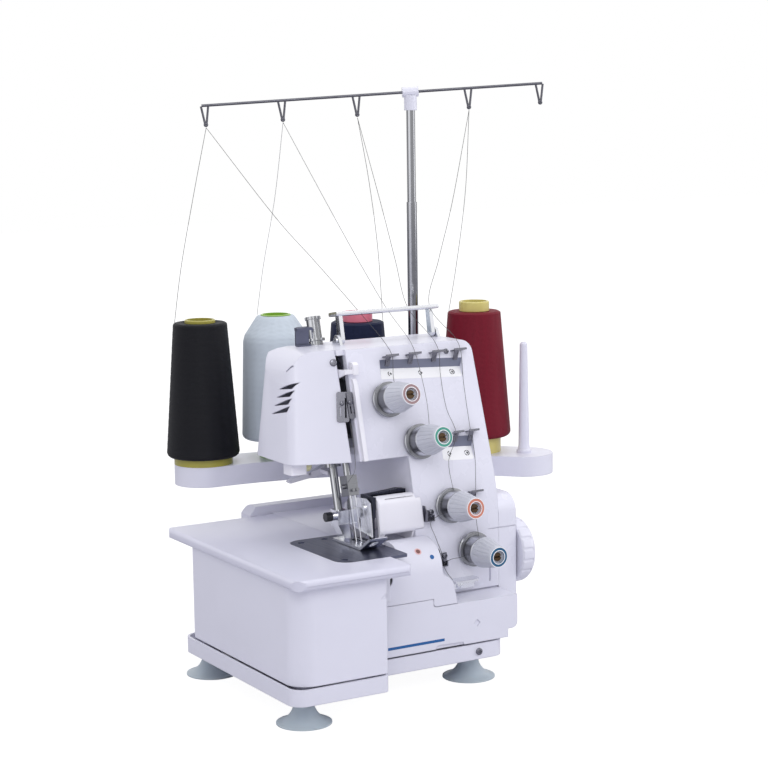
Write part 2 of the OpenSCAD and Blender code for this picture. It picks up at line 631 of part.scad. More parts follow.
module front_panel() {
    color("#e3e2ee") difference() {
        union() {
        intersection() {
            prism_x(concat(face_line(panel_foot, top_z + 1), reversed(face_line(panel_foot, top_z + 1, panel_t))),
                panel_left, right_x + 1 + belt_w);
            prism_y(front_outline(panel_left, panel_foot), front_y - 1, face_y(top_z) + 10);
        }
        for (r = label_recess) recess_back(r, 0);
        }
        block([panel_left - 1, 0, panel_foot - 1], [column_left, rear_y, head_z]);
        // Opening round the bed's shoulder
        prism_y(concat([[column_left - 1, panel_foot - 1]], flank_line(0.3, panel_foot - 1, table_z - 0.2),
            [[column_left - 1, table_z - 0.2]]), front_y - 2, front_y + 8);
        for (r = label_recess) in_recess(r) prism_x([[1.2, 1], [0, 0], [-r[3] * 0.42, -label_depth], [-r[3], 0],
            [-r[3], 1]], (r[0] - r[1]) / 2, (r[1] - r[0]) / 2);
        block([right_x - 12, front_y - 1, seam_z - 0.3], [right_x + 1, front_y + 0.8, seam_z + 0.3]);
        // Bores of the tension dials
        for (d = dial_at) on_face(d[0], d[1]) translate([0, 0, -8]) cylinder(r = 4 + run_gap, h = 12, $fn = 40);
        // Slot of the seam guide lever
        block([228, front_y - 1, 88], [229.6, front_y + 1.4, 101]);
    }
}

module rear_cover() {
    color("#dcdbe7") difference() {
        prism_y(rounded([slot_left + 6, head_z + 6], [right_x - 6, top_z - 26], [6, 6, 6, 6]), rear_y, rear_y + 2.5);
        for (x = [slot_left + 30:8:right_x - 30])
            block([x, rear_y - 1, head_z + 20], [x + 3.6, rear_y + 4, head_z + 46]);
        for (x = [slot_left + 14, right_x - 14]) translate([x, rear_y - 1, top_z - 34]) rotate([-90, 0, 0])
            cylinder(r = 2, h = 5, $fn = 24);
    }
}

// The end cover stands in a frame that leans back with the head and narrows upwards
module end_frame() {
    translate([slot_left, face_y(head_z), head_z]) rotate([-lean, 0, 0]) rotate([0, side_lean, 0])
        translate([-slot_left, 0, 0]) children();
}
end_corner_y = 0.8 + (slot_left - head_left - 11) * tan(end_turn) + 11 / cos(end_turn);
// Plan: a flat front that turns round a corner into the side
function end_plan(t) = concat([[slot_left + 30, 0.8 + t / cos(end_turn) - 30 * tan(end_turn)]],
    arc_pts([head_left + 11, end_corner_y], 11 - t, 270 - end_turn, 186, 6),
    [[head_left - 0.6 + t, 60], [head_left - 0.6 + t, 260], [slot_left + 30, 260]]);
function end_front(t) = concat([[slot_left - 0.2 + t, head_z + t], [slot_left - 0.2 + t, top_z - t]],
    arc_pts([71, top_z - 30], 30 - t, 90, 180),
    [[head_left - 10, top_z - 40], [head_left - 10, head_z + t]]);

module end_shape(t) {
    intersection() {
        end_frame() translate([0, 0, -60]) linear_extrude(240) polygon(end_plan(t));
        prism_y(end_front(t), 0, rear_y + 40);
        translate([slot_left, 0, head_z]) rotate([0, side_lean, 0]) translate([-slot_left, 0, -60])
            linear_extrude(200) polygon(rounded([head_left - 0.6 + t, 0], [slot_left + 40, rear_y - t], [1, 1, 1, 36 - t]));
        prism_x(concat([[0, head_z], [rear_y - t, head_z]], arc_pts([rear_y - 28, top_z - 28], 28 - t, 0, 90),
            [[0, top_z - t]]), 0, slot_left + 2);
    }
}

module face_cover() {
    color("#e2e1ed") difference() {
        intersection() {
            end_shape(0);
            block([0, 0, 0], [slot_left - 0.2, 400, 400]);
        }
        end_shape(wall);
        // Way through the floor for the bars
        block([78, 70, head_z - 1], [slot_left + 2, 150, head_z + wall + 1]);
        // Cooling louvres in the side
        for (i = [0:3]) let (z = 284 - i * 7)
            prism_x([[90, z + 5.5], [92, z], [110 + i * 3.3, z - 2.4 - i], [110 + i * 3.3, z - 1.8 - i]], 20, 54);
        // Slanting slot high in the side
        prism_x([[95.5, 304], [97, 305], [103.5, 299], [102, 298]], head_left, head_left + 30);
        leaning(bar_x, presser_y) translate([0, 0, 90]) cylinder(r = 6.5 + seat_gap, h = 30, $fn = 48);
        on_end(end_screw[0], end_screw[1]) translate([0, 0, -6]) cylinder(r = 1.6, h = 12, $fn = 24);
    }
}
// A point on the end cover's front, x to the left of the slot and at height z
module on_end(x, z) {
    end_frame() translate([slot_left, 0.8, (z - head_z) / cos(lean)]) rotate([0, 0, -end_turn])
        translate([-x, 0, 0]) rotate([90, 0, 0]) children();
}

// Bushings that guide both bars, cast on one bracket
module bar_frame() {
    left = bar_x - 5.2;
    right = chamber_right;
    color("#8c8f99") difference() {
        union() {
            block([left, 77, head_z + 10], [right, 142, head_z + 19]);
            block([left, 86, head_z + 46], [right, 144, head_z + 55]);
            block([left, 122, head_z + 82], [right, 144, head_z + 89]);
            block([left, 136, head_z + 46], [right, 144, head_z + 89]);
            prism_x([[77, head_z + 10], [144, head_z + 10], [144, head_z + 89], [122, head_z + 89], [86, head_z + 55]],
                right - 4, right);
            // Lug and pin of the lifter lever
            block([lifter_x - 5, lifter_y + 6.4, lifter_z - 6], [lifter_x + 5, lifter_y + 10, head_z + 11]);
            translate([lifter_x, lifter_y + 7, lifter_z]) rotate([90, 0, 0]) cylinder(r = 2, h = 7, $fn = 32);
            // Pin of the take-up arm
            translate([arm_x - 0.3, take_up_pivot.x, take_up_pivot.y]) rotate([0, 90, 0])
                cylinder(r = 2.5, h = left - arm_x + 1, $fn = 32);
        }
        for (b = [[needle_y, needle_bar_d], [presser_y, presser_bar_d]])
            leaning(bar_x, b[0]) translate([0, 0, -20]) cylinder(r = b[1] / 2 + run_gap, h = 140, $fn = 48);
    }
}

module needle_bar() {
    color("#c9ccd4") leaning(bar_x, needle_y) translate([0, 0, -32]) cylinder(d = needle_bar_d, h = 98, $fn = 48);
}

clamp_lo = -36;
clamp_hi = -17;

module needle_clamp() {
    color("#4c4f5c") leaning(bar_x, needle_y) difference() {
        union() {
            block([-5.5, -8, clamp_lo], [5.2, 6, clamp_hi]);
            translate([-9.5, -3, clamp_lo + 9]) rotate([0, 90, 0]) cylinder(r = 2.2, h = 5, $fn = 24);
            translate([-1, -7, clamp_lo + 5]) rotate([90, 0, 0]) cylinder(r = 1.6, h = 3.4, $fn = 24);
            translate([3.2, -7, clamp_lo + 5]) rotate([90, 0, 0]) cylinder(r = 1.6, h = 3.4, $fn = 24);
        }
        translate([0, 0, clamp_lo - 1]) cylinder(d = needle_bar_d, h = 30, $fn = 48);
        for (x = [-2.6, 2.6]) translate([x, -5, clamp_lo - 1]) cylinder(r = 1, h = 14, $fn = 24);
    }
}

needle_tip = -84;

module needles() {
    color("#d5d8de") leaning(bar_x, needle_y) for (x = [-2.6, 2.6]) translate([x, -5, 0]) rotate_extrude($fn = 24)
        polygon([[0, needle_tip], [0.25, needle_tip + 1.6], [0.45, needle_tip + 5], [0.45, clamp_lo - 12],
            [1, clamp_lo - 10], [1, clamp_lo + 10], [0, clamp_lo + 10]]);
}

foot_bar_low = -62;

module presser_bar() {
    color("#c9ccd4") leaning(bar_x, presser_y) {
        translate([0, 0, foot_bar_low]) cylinder(d = presser_bar_d, h = 146, $fn = 48);
        // Collar that the lifter lever raises
        translate([0, 0, -13.4]) cylinder(r = 8, h = 6, $fn = 48);
    }
}

// Where the presser bar ends, in the machine's own axes
bar_end = [presser_y + foot_bar_low * sin(lean), head_z + foot_bar_low * cos(lean)];

module presser_foot() {
    sole_x = bar_x - 13;
    sole_z = table_z + 0.4;
    color("#c3c6cf") {
        difference() {
            // Sole with its turned-up toe
            prism_x([[90, sole_z], [37, sole_z], [19, sole_z + 11.5], [18, sole_z + 13.5], [19.5, sole_z + 13.8],
                [38, sole_z + 2.6], [88, sole_z + 2.6], [90, sole_z + 1.6]], sole_x, sole_x + sole_w);
            block([bar_x - 4, 57, sole_z - 1], [bar_x + 3.8, 73, sole_z + 4]);
            // Oval window in the toe
            prism_z(rounded([sole_x + 5, 22], [sole_x + 12, 31], [3, 3, 3, 3]), sole_z - 1, sole_z + 20);
        }
        // Shank up to the bar
        difference() {
            union() {
                prism_x([[78, sole_z + 2.5], [90, sole_z + 2.5], [bar_end.x + 7, bar_end.y - 4],
                    [bar_end.x + 7, bar_end.y + 9], [bar_end.x - 8, bar_end.y + 9], [bar_end.x - 8, bar_end.y - 4]],
                    bar_x - 6, bar_x + 5.4);
                translate([bar_x - 5, bar_end.x, bar_end.y + 3]) rotate([0, -90, 0]) cylinder(r = 4, h = 4, $fn = 32);
            }
            leaning(bar_x, presser_y) translate([0, 0, foot_bar_low]) cylinder(d = presser_bar_d, h = 40, $fn = 48);
        }
    }
    // Black thumb screw that holds the foot
    color("#22232a") translate([bar_x - 9, bar_end.x, bar_end.y + 3]) rotate([0, -90, 0]) {
        difference() {
            cylinder(r = 4.4, h = 6.5, $fn = 40);
            for (a = [0:45:315]) rotate(a) translate([4.9, 0, -1]) cylinder(r = 0.9, h = 9, $fn = 16);
        }
    }
}

// Bright guard between the needles and the knife
module needle_guard() {
    x = knife_x - 2.4;
    color("#bfc2cc") {
        difference() {
            prism_x([[47, table_z + 8], [49.5, table_z + 40], [56, table_z + 43], [84, table_z + 41], [92, table_z + 36],
                [93, table_z + 18], [86, table_z + 13]], x, x + 1.2);
            translate([x - 1, 70, table_z + 16]) rotate([0, 90, 0]) {
                cylinder(r = 2.6, h = 4, $fn = 32);
                translate([-4.6, 0, 0]) cylinder(r = 2.6, h = 4, $fn = 32);
                translate([-4.6, -2.6, 0]) cube([4.6, 5.2, 4]);
            }
        }
        // Foot of the guard, screwed to the knife guard's rim
        block([x, 84, table_z + 25], [105.4, 92, table_z + 32]);
    }
    color("#9fa2ad") translate([x, 60, table_z + 34]) rotate([0, -90, 0]) screw_head(3);
}

module screw_head(r) {
    difference() {
        rotate_extrude($fn = 32) polygon(concat([[0, 0], [r, 0]], arc_pts([r - 1, 0.8], 1, 0, 80, 4), [[0, 2.1]]));
        for (a = [0, 90]) rotate(a) translate([-r * 0.55, -0.35, 1.2]) cube([r * 1.1, 0.7, 2]);
    }
}

module pressure_screw() {
    color("#c8cbd3") leaning(bar_x, presser_y) difference() {
        union() {
            translate([0, 0, 96]) cylinder(r = 6.5, h = 33, $fn = 48);
            translate([0, 0, 106.5]) cylinder(r = 9, h = 2.4, $fn = 48);
            translate([0, 0, 127]) cylinder(r = 7.6, h = 3, $fn = 48);
        }
        translate([0, 0, 124]) cylinder(r = 3.2, h = 8, $fn = 32);
        for (a = [0:30:330]) rotate(a) translate([7.9, 0, 126]) cylinder(r = 0.8, h = 5, $fn = 16);
    }
}

lifter_x = bar_x + 8;
lifter_y = 128;
lifter_z = 200;

// Lever under the head that raises the foot
module lifter_lever() {
    y0 = lifter_y;
    y1 = lifter_y + 6;
    color("#dcdbe5") difference() {
        union() {
            translate([lifter_x, y1, lifter_z]) rotate([90, 0, 0]) cylinder(r = 5.4, h = y1 - y0, $fn = 40);
            prism_y([[lifter_x + 1, lifter_z + 5.2], [lifter_x - 14, lifter_z - 1.6], [lifter_x - 40, lifter_z - 7.4],
                [lifter_x - 45, lifter_z - 10.4], [lifter_x - 43, lifter_z - 12], [lifter_x - 12, lifter_z - 7.4],
                [lifter_x, lifter_z - 5.3]], y0, y1);
            // Finger that lifts the presser bar's collar
            block([bar_x - 3, 113, lifter_z - 5], [bar_x + 3, y0 + 1, lifter_z - 1.4]);
        }
        translate([lifter_x, y1 + 1, lifter_z]) rotate([90, 0, 0]) cylinder(r = 2 + run_gap, h = y1 - y0 + 2, $fn = 32);
        translate([lifter_x - 22, y1 + 1, lifter_z - 5]) rotate([90, 0, 0]) cylinder(r = 1.4, h = 10, $fn = 24);
    }
}

take_up_pivot = [141, 284];

// Take-up arm; its white eyelet block stands in front of the panel
module take_up_lever() {
    y0 = face_y(300);
    color("#f0eff7") difference() {
        union() {
            prism_x([[y0 - 8.4, 295], [y0 - 8.4, 304], [y0 - 6, 306.2], [y0 - 0.7, 306.2], [y0 - 2.7, 297]],
                panel_left + 1.2, panel_left + 7);
            prism_x([[y0 - 8, 296], [y0 - 8, 300], [y0 - 2.6, 300], [y0 - 2.6, 296]], arm_x, panel_left + 2);
            prism_x([[y0 - 8, 296], [y0 - 8, 300], [y0 + 12, 299], [take_up_pivot.x + 2, take_up_pivot.y + 5.4],
                [take_up_pivot.x - 2, take_up_pivot.y - 5.2], [y0 + 10, 289]], arm_x, arm_x + 1.8);
            translate([arm_x, take_up_pivot.x, take_up_pivot.y]) rotate([0, 90, 0]) cylinder(r = 6, h = 1.8, $fn = 40);
        }
        translate([slot_left, take_up_pivot.x, take_up_pivot.y]) rotate([0, 90, 0])
            cylinder(r = 2.5 + run_gap, h = 8, $fn = 32);
        translate([panel_left, y0 - 4.6, 301]) rotate([0, 90, 0]) cylinder(r = 1.1, h = 10, $fn = 24);
    }
}

// Slotted chrome plate with its screw
module slotted_plate(w, h) {
    difference() {
        linear_extrude(1.4) polygon(rounded([0, -h / 2], [w, h / 2], [2, 2, 2, 2]));
        translate([w * 0.66, -h * 0.36, -1]) cube([1.5, h * 0.66, 4]);
        translate([w * 0.26, -h * 0.3, -1]) cube([1.3, h * 0.3, 4]);
    }
    translate([w * 0.42, h * 0.12, 1.4]) screw_head(2.2);
}

module slot_bar() {
    color("#f2f1f8") prism_x([[face_y(head_z) - 5.5, head_z + 1], [face_y(head_z + 1), head_z + 1],
        [face_y(291), 291], [face_y(291) - 3.4, 291], [face_y(286) - 5.5, 285]], panel_left + 1.6, panel_left + 6);
}

module lamp_housing() {
    color("#e8e7f0") difference() {
        prism_z(rounded([36, 82], [52, 99], [2, 1, 1, 2]), head_z - 11, head_z);
        translate([48, 90.5, head_z - 5]) rotate([0, 90, 0]) cylinder(r = 3.4, h = 6, $fn = 32);
    }
}

module lamp_lens() {
    color("#f3efc0") translate([52, 90.5, head_z - 5]) rotate([0, 90, 0]) {
        translate([0, 0, -4]) cylinder(r = 3.4, h = 4, $fn = 40);
        rotate_extrude($fn = 48) polygon([[0, 0], [4.8, 0], [4.8, 6.4], [3.4, 8], [0, 8]]);
    }
}

// ---- Panel furniture ----

// Chrome clips, plates and eyelets that lead the threads
module thread_guides() {
    color("#c0c3cc") {
        for (x = clip_x) on_face(x, clip_z) thread_clip(14);
        for (x = [200.4, 217.2]) on_face(x, 231.5) thread_clip(11.6);
        on_face(212.5, 176) thread_clip(13);
    }
    color("#c6c9d2") {
        on_end(13.4, 266) slotted_plate(11.6, 28);
        translate([slot_left + 2.6, face_y(267), 267]) rotate([90 - lean, 0, 0]) slotted_plate(6.4, 25);
    }
    color("#b9bcc6") {
        // Eyelets that lead the looper threads down
        on_face(158.8, 162) eyelet(15);
        on_face(172.6, 118.6) eyelet(17);
    }
}

// Bent clip: a lip to hook the thread over and a leg that slants back to the panel
module thread_clip(w) {
    block([-w / 2, 0, 0], [w / 2, 1, 7.8]);
    block([-w / 2, 0, 7], [w / 2, 2, 7.8]);
    prism_x([[0.6, 7.6], [0.6, 6.4], [-7.4, 1], [-8.4, 1.8]], -w / 2 + 0.6, -w / 2 + 5.4);
}

// Folded plate with an open corner, and the screw that holds it
module eyelet(h) {
    prism_x([[-h / 2, 0], [-h / 2, 6.6], [h / 2 - 6, 7.6], [h / 2, 3.4], [h / 2, 0]], -4, -3);
    block([-4, -h / 2, 0], [5, -h / 2 + 1, 6.6]);
    prism_x([[-h / 2, 0], [-h / 2, 6.6], [-h / 2 + 6, 6.6], [-h / 2 + 2.5, 0]], 4, 5);
    block([-4, -h / 2, 0], [7, h / 2 - 5, 0.9]);
    translate([4.6, 0.5, 0.9]) screw_head(2.6);
}

module release_tab() {
    y = front_y;
    color("#cfd3d6") prism_z(rounded([179.6, y - 14], [209.8, y], [6, 6, 1, 1]), 93.4, 95.8);
    color("#b9bcc6") {
        block([184, y - 6, 86.2], [207, y - 5, 93.6]);
        block([184, y - 6, 92.4], [207, y, 93.6]);
        translate([190, y - 6, 89.9]) rotate([90, 0, 0]) screw_head(3.2);
    }
}

module screws() {
    color("#b7bac4") {
        on_end(end_screw[0], end_screw[1]) screw_head(screw_r);
        translate([194, step_y, 31.5]) rotate([90, 0, 0]) screw_head(screw_r);
        on_face(202.4, 307.6) screw_head(2.6);
        for (x = [slot_left + 14, right_x - 14]) translate([x, rear_y + 2.5, top_z - 34]) rotate([-90, 0, 0]) screw_head(screw_r);
    }
}

// ---- Tension dials ----

disc_foot = 3;
drum_foot = 8;
knob_foot = 21;

module on_dial(i) { on_face(dial_at[i][0], dial_at[i][1]) children(); }

module tension_discs() {
    color("#bcbfc9") for (i = [0:3]) on_dial(i) difference() {
        union() {
            cylinder(r = 7, h = 4, $fn = 48);
            translate([0, 0, disc_foot]) rotate_extrude($fn = 72) polygon([[0, 0], [11, 0], [disc_d / 2 - 1, 0.9],
                [disc_d / 2, 0], [disc_d / 2, 0.8], [disc_d / 2 - 1.4, 2], [disc_d / 2, 3.2], [disc_d / 2, 4],
                [disc_d / 2 - 1, 4.2], [11, 5], [0, 5]]);
            translate([0, 0, drum_foot]) rotate_extrude($fn = 72) polygon([[0, 0], [knob_d / 2 - 0.8, 0],
                [knob_d / 2 - 0.3, 0.6], [knob_d / 2 - 0.3, knob_foot - drum_foot - 1.3], [knob_d / 2 - 1.2, knob_foot - drum_foot - 0.4],
                [0, knob_foot - drum_foot - 0.4]]);
        }
        translate([0, 0, -1]) cylinder(r = 4, h = knob_foot + 4, $fn = 40);
    }
}

module tension_bolts() {
    color("#b59a55") for (i = [0:3]) on_dial(i) difference() {
        translate([0, 0, -7]) cylinder(r = 4, h = 7 + knob_foot + knob_len - 1.4, $fn = 40);
        translate([-6, -0.7, knob_foot + knob_len - 4.4]) cube([12, 1.4, 4]);
    }
}

module tension_knob(i) {
    on_dial(i) translate([0, 0, knob_foot]) {
        color("#b9bbc3") difference() {
            rotate_extrude($fn = 72) polygon([[4 + run_gap, 0], [knob_d / 2 - 0.6, 0], [knob_d / 2, 0.6], [knob_d / 2, 2],
                [knob_front_d / 2, knob_len - 0.8], [knob_front_d / 2 - 0.8, knob_len], [5.6, knob_len],
                [5.6, knob_len - 3], [4 + run_gap, knob_len - 3]]);
            for (a = [0:flutes - 1]) rotate(a * 360 / flutes) translate([knob_d / 2 + 0.4, 0, 2.4])
                rotate([0, -atan((knob_d - knob_front_d) / 2 / (knob_len - 2.8)), 0]) cylinder(r = 0.9, h = knob_len - 5, $fn = 16);
        }
        color(dial_colors[i]) translate([0, 0, knob_len]) difference() {
            cylinder(r = knob_front_d / 2 - 1, h = 0.6, $fn = 72);
            translate([0, 0, -1]) cylinder(r = 6, h = 3, $fn = 48);
        }
    }
}

module tension_knob_1() { tension_knob(0); }
module tension_knob_2() { tension_knob(1); }
module tension_knob_3() { tension_knob(2); }
module tension_knob_4() { tension_knob(3); }

// ---- Carrying handle ----

handle_left = 112.5;
handle_right = 213.5;
handle_pivot = [122, 321];
handle_lean = 10;            // the arms rest leaning back by this angle
handle_len = 26.5;

module handle_brackets() {
    color("#9da0ab") for (x = [handle_left - 5, handle_right + 2]) difference() {
        prism_x(concat([[handle_pivot.x - 8, top_z]], arc_pts(handle_pivot, 5, 160, 20, 6), [[handle_pivot.x + 8, top_z]]), x, x + 3);
        translate([x - 1, handle_pivot.x, handle_pivot.y]) rotate([0, 90, 0]) cylinder(r = 2 + run_gap, h = 5, $fn = 32);
    }
}

module carry_handle() {
    color("#c9ccd4") translate([0, handle_pivot.x, handle_pivot.y]) rotate([-handle_lean, 0, 0]) {
        for (x = [handle_left - 1.5, handle_right - 2.5]) {
            prism_x(concat(arc_pts([0, 0], 4, 180, 360, 8), [[3.4, handle_len - 4], [-3.4, handle_len - 4]]), x, x + 4);
            translate([x < 150 ? x - 4.5 : x + 3.9, 0, 0]) rotate([0, 90, 0]) cylinder(r = 2, h = 4.6, $fn = 32);
        }
        prism_x(rounded([-8, handle_len - 4], [8, handle_len], [1.6, 1.6, 1.6, 1.6]), handle_left - 6, handle_right + 6);
    }
}

// Dark thread plate beside the pressure screw
module gauge_plate() {
    color("#5d606c") {
        prism_y(rounded([70, top_z], [84, top_z + 18], [1, 1, 2, 2]), 132, 134);
        block([69, 127, top_z + 15], [84.6, 133, top_z + 17.6]);
        block([70, 127, top_z], [84, 133, top_z + 1.4]);
    }
}

// ---- Thread stand ----

function tray_outline(w, ends) = concat(
    [for (i = [0:40]) on_ring(pin_angles[0] + (pin_angles[4] - pin_angles[0]) * i / 40, stand_r + w / 2)],
    arc_pts(on_ring(pin_angles[4]), w / 2, pin_angles[4], pin_angles[4] - 180, 16),
    [for (i = [0:40]) on_ring(pin_angles[4] + (pin_angles[0] - pin_angles[4]) * i / 40, stand_r - w / 2)],
    arc_pts(on_ring(pin_angles[0]), w / 2, pin_angles[0] + 180, pin_angles[0], 16));

module spool_stand() {
    color("#dad9e6") {
        difference() {
            prism_z(tray_outline(stand_w), stand_z - stand_h, stand_z);
            prism_z(tray_outline(stand_w - 2 * wall), stand_z - stand_h - 1, stand_z - 3);
            for (a = pin_angles) translate([on_ring(a).x, on_ring(a).y, stand_z - 9]) cylinder(r = 4, h = 12, $fn = 32);
            translate([mast_x, mast_y, stand_z - 9]) cylinder(d = mast_d, h = 12, $fn = 48);
        }
        // Pedestal down to the motor housing
        difference() {
            translate([mast_x - 8, mast_y, roof_z]) cylinder(r = pedestal_r, h = stand_z - 3 - roof_z, $fn = 64);
            translate([mast_x, mast_y, table_z + 15]) cylinder(d = mast_d, h = 60, $fn = 48);
        }
    }
}

module spool_pins() {
    color("#e2e1ec") for (a = pin_angles) translate([on_ring(a).x, on_ring(a).y, stand_z]) rotate_extrude($fn = 40)
        polygon([[0, -8], [4, -8], [4, 0], [7.5, 0], [7.5, 2.4], [6, 4], [pin_r, 8], [pin_r - 1.7, pin_h - 2],
            [pin_r - 3.4, pin_h], [0, pin_h]]);
}

cone_lift = [6, 18, 6, 15.5];
// How far a cone's winding stops below its full height, and its tube stands above the winding
wound_short = [1, 3.6, 1, 1];
tube_rise = [10, 1.2, 10, 10];
tube_r = [29, 19, 26, 26];

module thread_cone(i) {
    a = pin_angles[i];
    r0 = cone_d / 2;
    r1 = cone_top_d / 2;
    bore0 = min(tube_r[i], r0 - 6);
    color(cone_colors[i]) translate([on_ring(a).x, on_ring(a).y, stand_z + cone_lift[i]]) rotate_extrude($fn = 96)
        polygon(concat([[bore0, 0], [r0 - 7, 0.8]], arc_pts([r0 - 5, 5.5], 5, 290, 360, 5),
            i == 1 ? [[r1 + 7, cone_h - 29], [r1 + 5.4, cone_h - 23], [19.5, cone_h - 5], [18, cone_h - wound_short[1]]]
                : [[r1 + 0.6, cone_h - 2.4], [r1 - 1.4, cone_h - 1]],
            [[13.4, cone_h - wound_short[i]]]));
}

module thread_cone_1() { thread_cone(0); }
module thread_cone_2() { thread_cone(1); }
module thread_cone_3() { thread_cone(2); }
module thread_cone_4() { thread_cone(3); }

// Plastic tubes that the thread is wound on
module spool_tubes() {
    color("#b9b13c") for (i = [0:3]) let (c = on_ring(pin_angles[i]), b = min(tube_r[i], cone_d / 2 - 6),
        wound_top = cone_lift[i] + cone_h - wound_short[i], top = wound_top + tube_rise[i])
        translate([c.x, c.y, stand_z]) difference() {
            rotate_extrude($fn = 64) polygon([[9, 0], [b, 0], [b, cone_lift[i]], [13.4, wound_top],
                [15.2, wound_top + 0.4], [15.2, top - 0.8], [14.4, top], [9, top]]);
            translate([0, 0, wound_top - 11]) cylinder(r = 12.6, h = 30, $fn = 48);
        }
}

slide_top = mast_joint_z;
upper_r = mast_d / 2 - 0.75;
upper_low = slide_top - 46;

module mast_lower() {
    color("#c6c9d2") translate([mast_x, mast_y, 0]) difference() {
        translate([0, 0, table_z + 15]) cylinder(d = mast_d, h = slide_top - table_z - 15, $fn = 48);
        translate([0, 0, table_z + 30]) cylinder(r = upper_r + run_gap, h = slide_top, $fn = 48);
    }
}

module mast_upper() {
    color("#cdd0d8") translate([mast_x, mast_y, upper_low]) cylinder(r = upper_r, h = mast_top_z - 8 - upper_low, $fn = 48);
}

// Moulded socket that clamps the thread bar to the mast
module mast_head() {
    low = mast_top_z - 23;
    color("#dddce8") translate([mast_x, mast_y, 0]) rotate([0, 0, bar_turn]) difference() {
        union() {
            translate([0, 0, low]) cylinder(r = 6.4, h = 15, $fn = 48);
            translate([0, 0, low + 13]) rotate([0, -bar_tilt, 0]) translate([0, 0, 5]) rotate([0, 90, 0])
                translate([0, 0, -8]) cylinder(r = 5, h = 16, $fn = 48);
        }
        translate([0, 0, low - 1]) cylinder(r = upper_r, h = 16, $fn = 48);
        translate([0, 0, low + 13]) rotate([0, -bar_tilt, 0]) translate([0, 0, 5]) rotate([0, 90, 0])
            translate([0, 0, -20]) cylinder(r = 1.4, h = 40, $fn = 24);
    }
}

module thread_bar() {
    low = mast_top_z - 23;
    wire = 1.4;
    drop = 20;
    color("#8d909b") translate([mast_x, mast_y, low + 13]) rotate([0, 0, bar_turn]) rotate([0, -bar_tilt, 0])
        translate([0, 0, 5]) {
            translate([hook_at[0] - 3, 0, 0]) rotate([0, 90, 0]) cylinder(r = wire, h = hook_at[4] - hook_at[0] + 6, $fn = 24);
            for (x = hook_at) translate([x, 0, 0]) {
                for (s = [-1, 1]) rotate([0, s * 9, 0]) translate([s * 3.6, 0, -drop + 1]) cylinder(r = 1.1, h = drop - 1, $fn = 16);
                translate([0, 0, -drop + 1.2]) rotate([90, 0, 0]) rotate_extrude($fn = 32) translate([1.2, 0]) circle(r = 1.1, $fn = 16);
            }
        }
}

placed() base_tray();
placed() suction_feet();
placed() lower_housing();
placed() front_block();
placed() knife_guard();
placed() looper_cover();
placed() side_cover();
placed() cloth_plate();
placed() needle_plate();
placed() feed_dogs();
placed() upper_knife();
placed() lower_knife();
placed() upper_looper();
placed() lower_looper();
placed() looper_shafts();
placed() main_shaft();
placed() handwheel();
placed() belt_cover();
placed() head_housing();
placed() front_panel();
placed() rear_cover();
placed() face_cover();
placed() bar_frame();
placed() needle_bar();
placed() needle_clamp();
placed() needles();
placed() presser_bar();
placed() presser_foot();
placed() needle_guard();
placed() pressure_screw();
placed() lifter_lever();
placed() take_up_lever();
placed() slot_bar();
placed() lamp_housing();
placed() lamp_lens();
placed() thread_guides();
placed() release_tab();
placed() tension_discs();
placed() tension_bolts();
placed() tension_knob_1();
placed() tension_knob_2();
placed() tension_knob_3();
placed() tension_knob_4();
placed() handle_brackets();
placed() carry_handle();
placed() gauge_plate();
placed() spool_stand();
placed() spool_pins();
placed() thread_cone_1();
placed() thread_cone_2();
placed() thread_cone_3();
placed() thread_cone_4();
placed() spool_tubes();
placed() mast_lower();
placed() mast_upper();
placed() mast_head();
placed() thread_bar();
placed() power_switch();
placed() power_socket();
placed() screws();
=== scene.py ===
import bpy
import bmesh
from math import sin, cos, tan, atan2, radians, pi, sqrt
from mathutils import Matrix, Vector


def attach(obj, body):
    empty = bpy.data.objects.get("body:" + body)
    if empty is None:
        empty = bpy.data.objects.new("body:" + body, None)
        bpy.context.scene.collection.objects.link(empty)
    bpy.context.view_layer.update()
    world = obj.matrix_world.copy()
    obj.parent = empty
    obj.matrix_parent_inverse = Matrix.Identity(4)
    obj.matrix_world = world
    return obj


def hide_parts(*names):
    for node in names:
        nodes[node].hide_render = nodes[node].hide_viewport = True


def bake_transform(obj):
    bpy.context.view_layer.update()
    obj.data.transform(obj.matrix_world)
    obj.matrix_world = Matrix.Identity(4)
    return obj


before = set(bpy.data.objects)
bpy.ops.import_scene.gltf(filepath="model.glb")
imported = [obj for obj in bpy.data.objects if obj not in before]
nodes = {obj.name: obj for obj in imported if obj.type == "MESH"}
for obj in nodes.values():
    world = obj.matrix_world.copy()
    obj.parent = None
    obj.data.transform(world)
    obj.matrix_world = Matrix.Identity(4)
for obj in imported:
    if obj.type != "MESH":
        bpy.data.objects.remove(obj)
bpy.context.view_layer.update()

# Machine axes: millimetres from the centre of the front left foot
LEAN = radians(13.8)  # of the upright's front
FACE_Y = 46.0  # of the front, below the lean
BEND_LOW, BEND_HIGH = 140, 204  # heights between which the front bends back to LEAN
BEND = BEND_HIGH - BEND_LOW
STAND = (37.5, -115.6, 380.0)  # centre and radius of the arc the spool pins stand on
MAST = (STAND[0] + STAND[2] * cos(radians(57.3)), STAND[1] + STAND[2] * sin(radians(57.3)))
BAR_REACH, BAR_TURN = 134, radians(24.8)  # right half of the thread bar on the mast
CONE_R = 36
LEFT_END, FRONT_END = -25.0, -38.0  # least x and y of the whole
MID_X = (LEFT_END + MAST[0] + BAR_REACH * cos(BAR_TURN)) / 2
MID_Y = (FRONT_END + STAND[1] + STAND[2] + CONE_R) / 2
RIGHT, UPWARD, FORWARD = Vector((1, 0, 0)), Vector((0, 0, 1)), Vector((0, -1, 0))


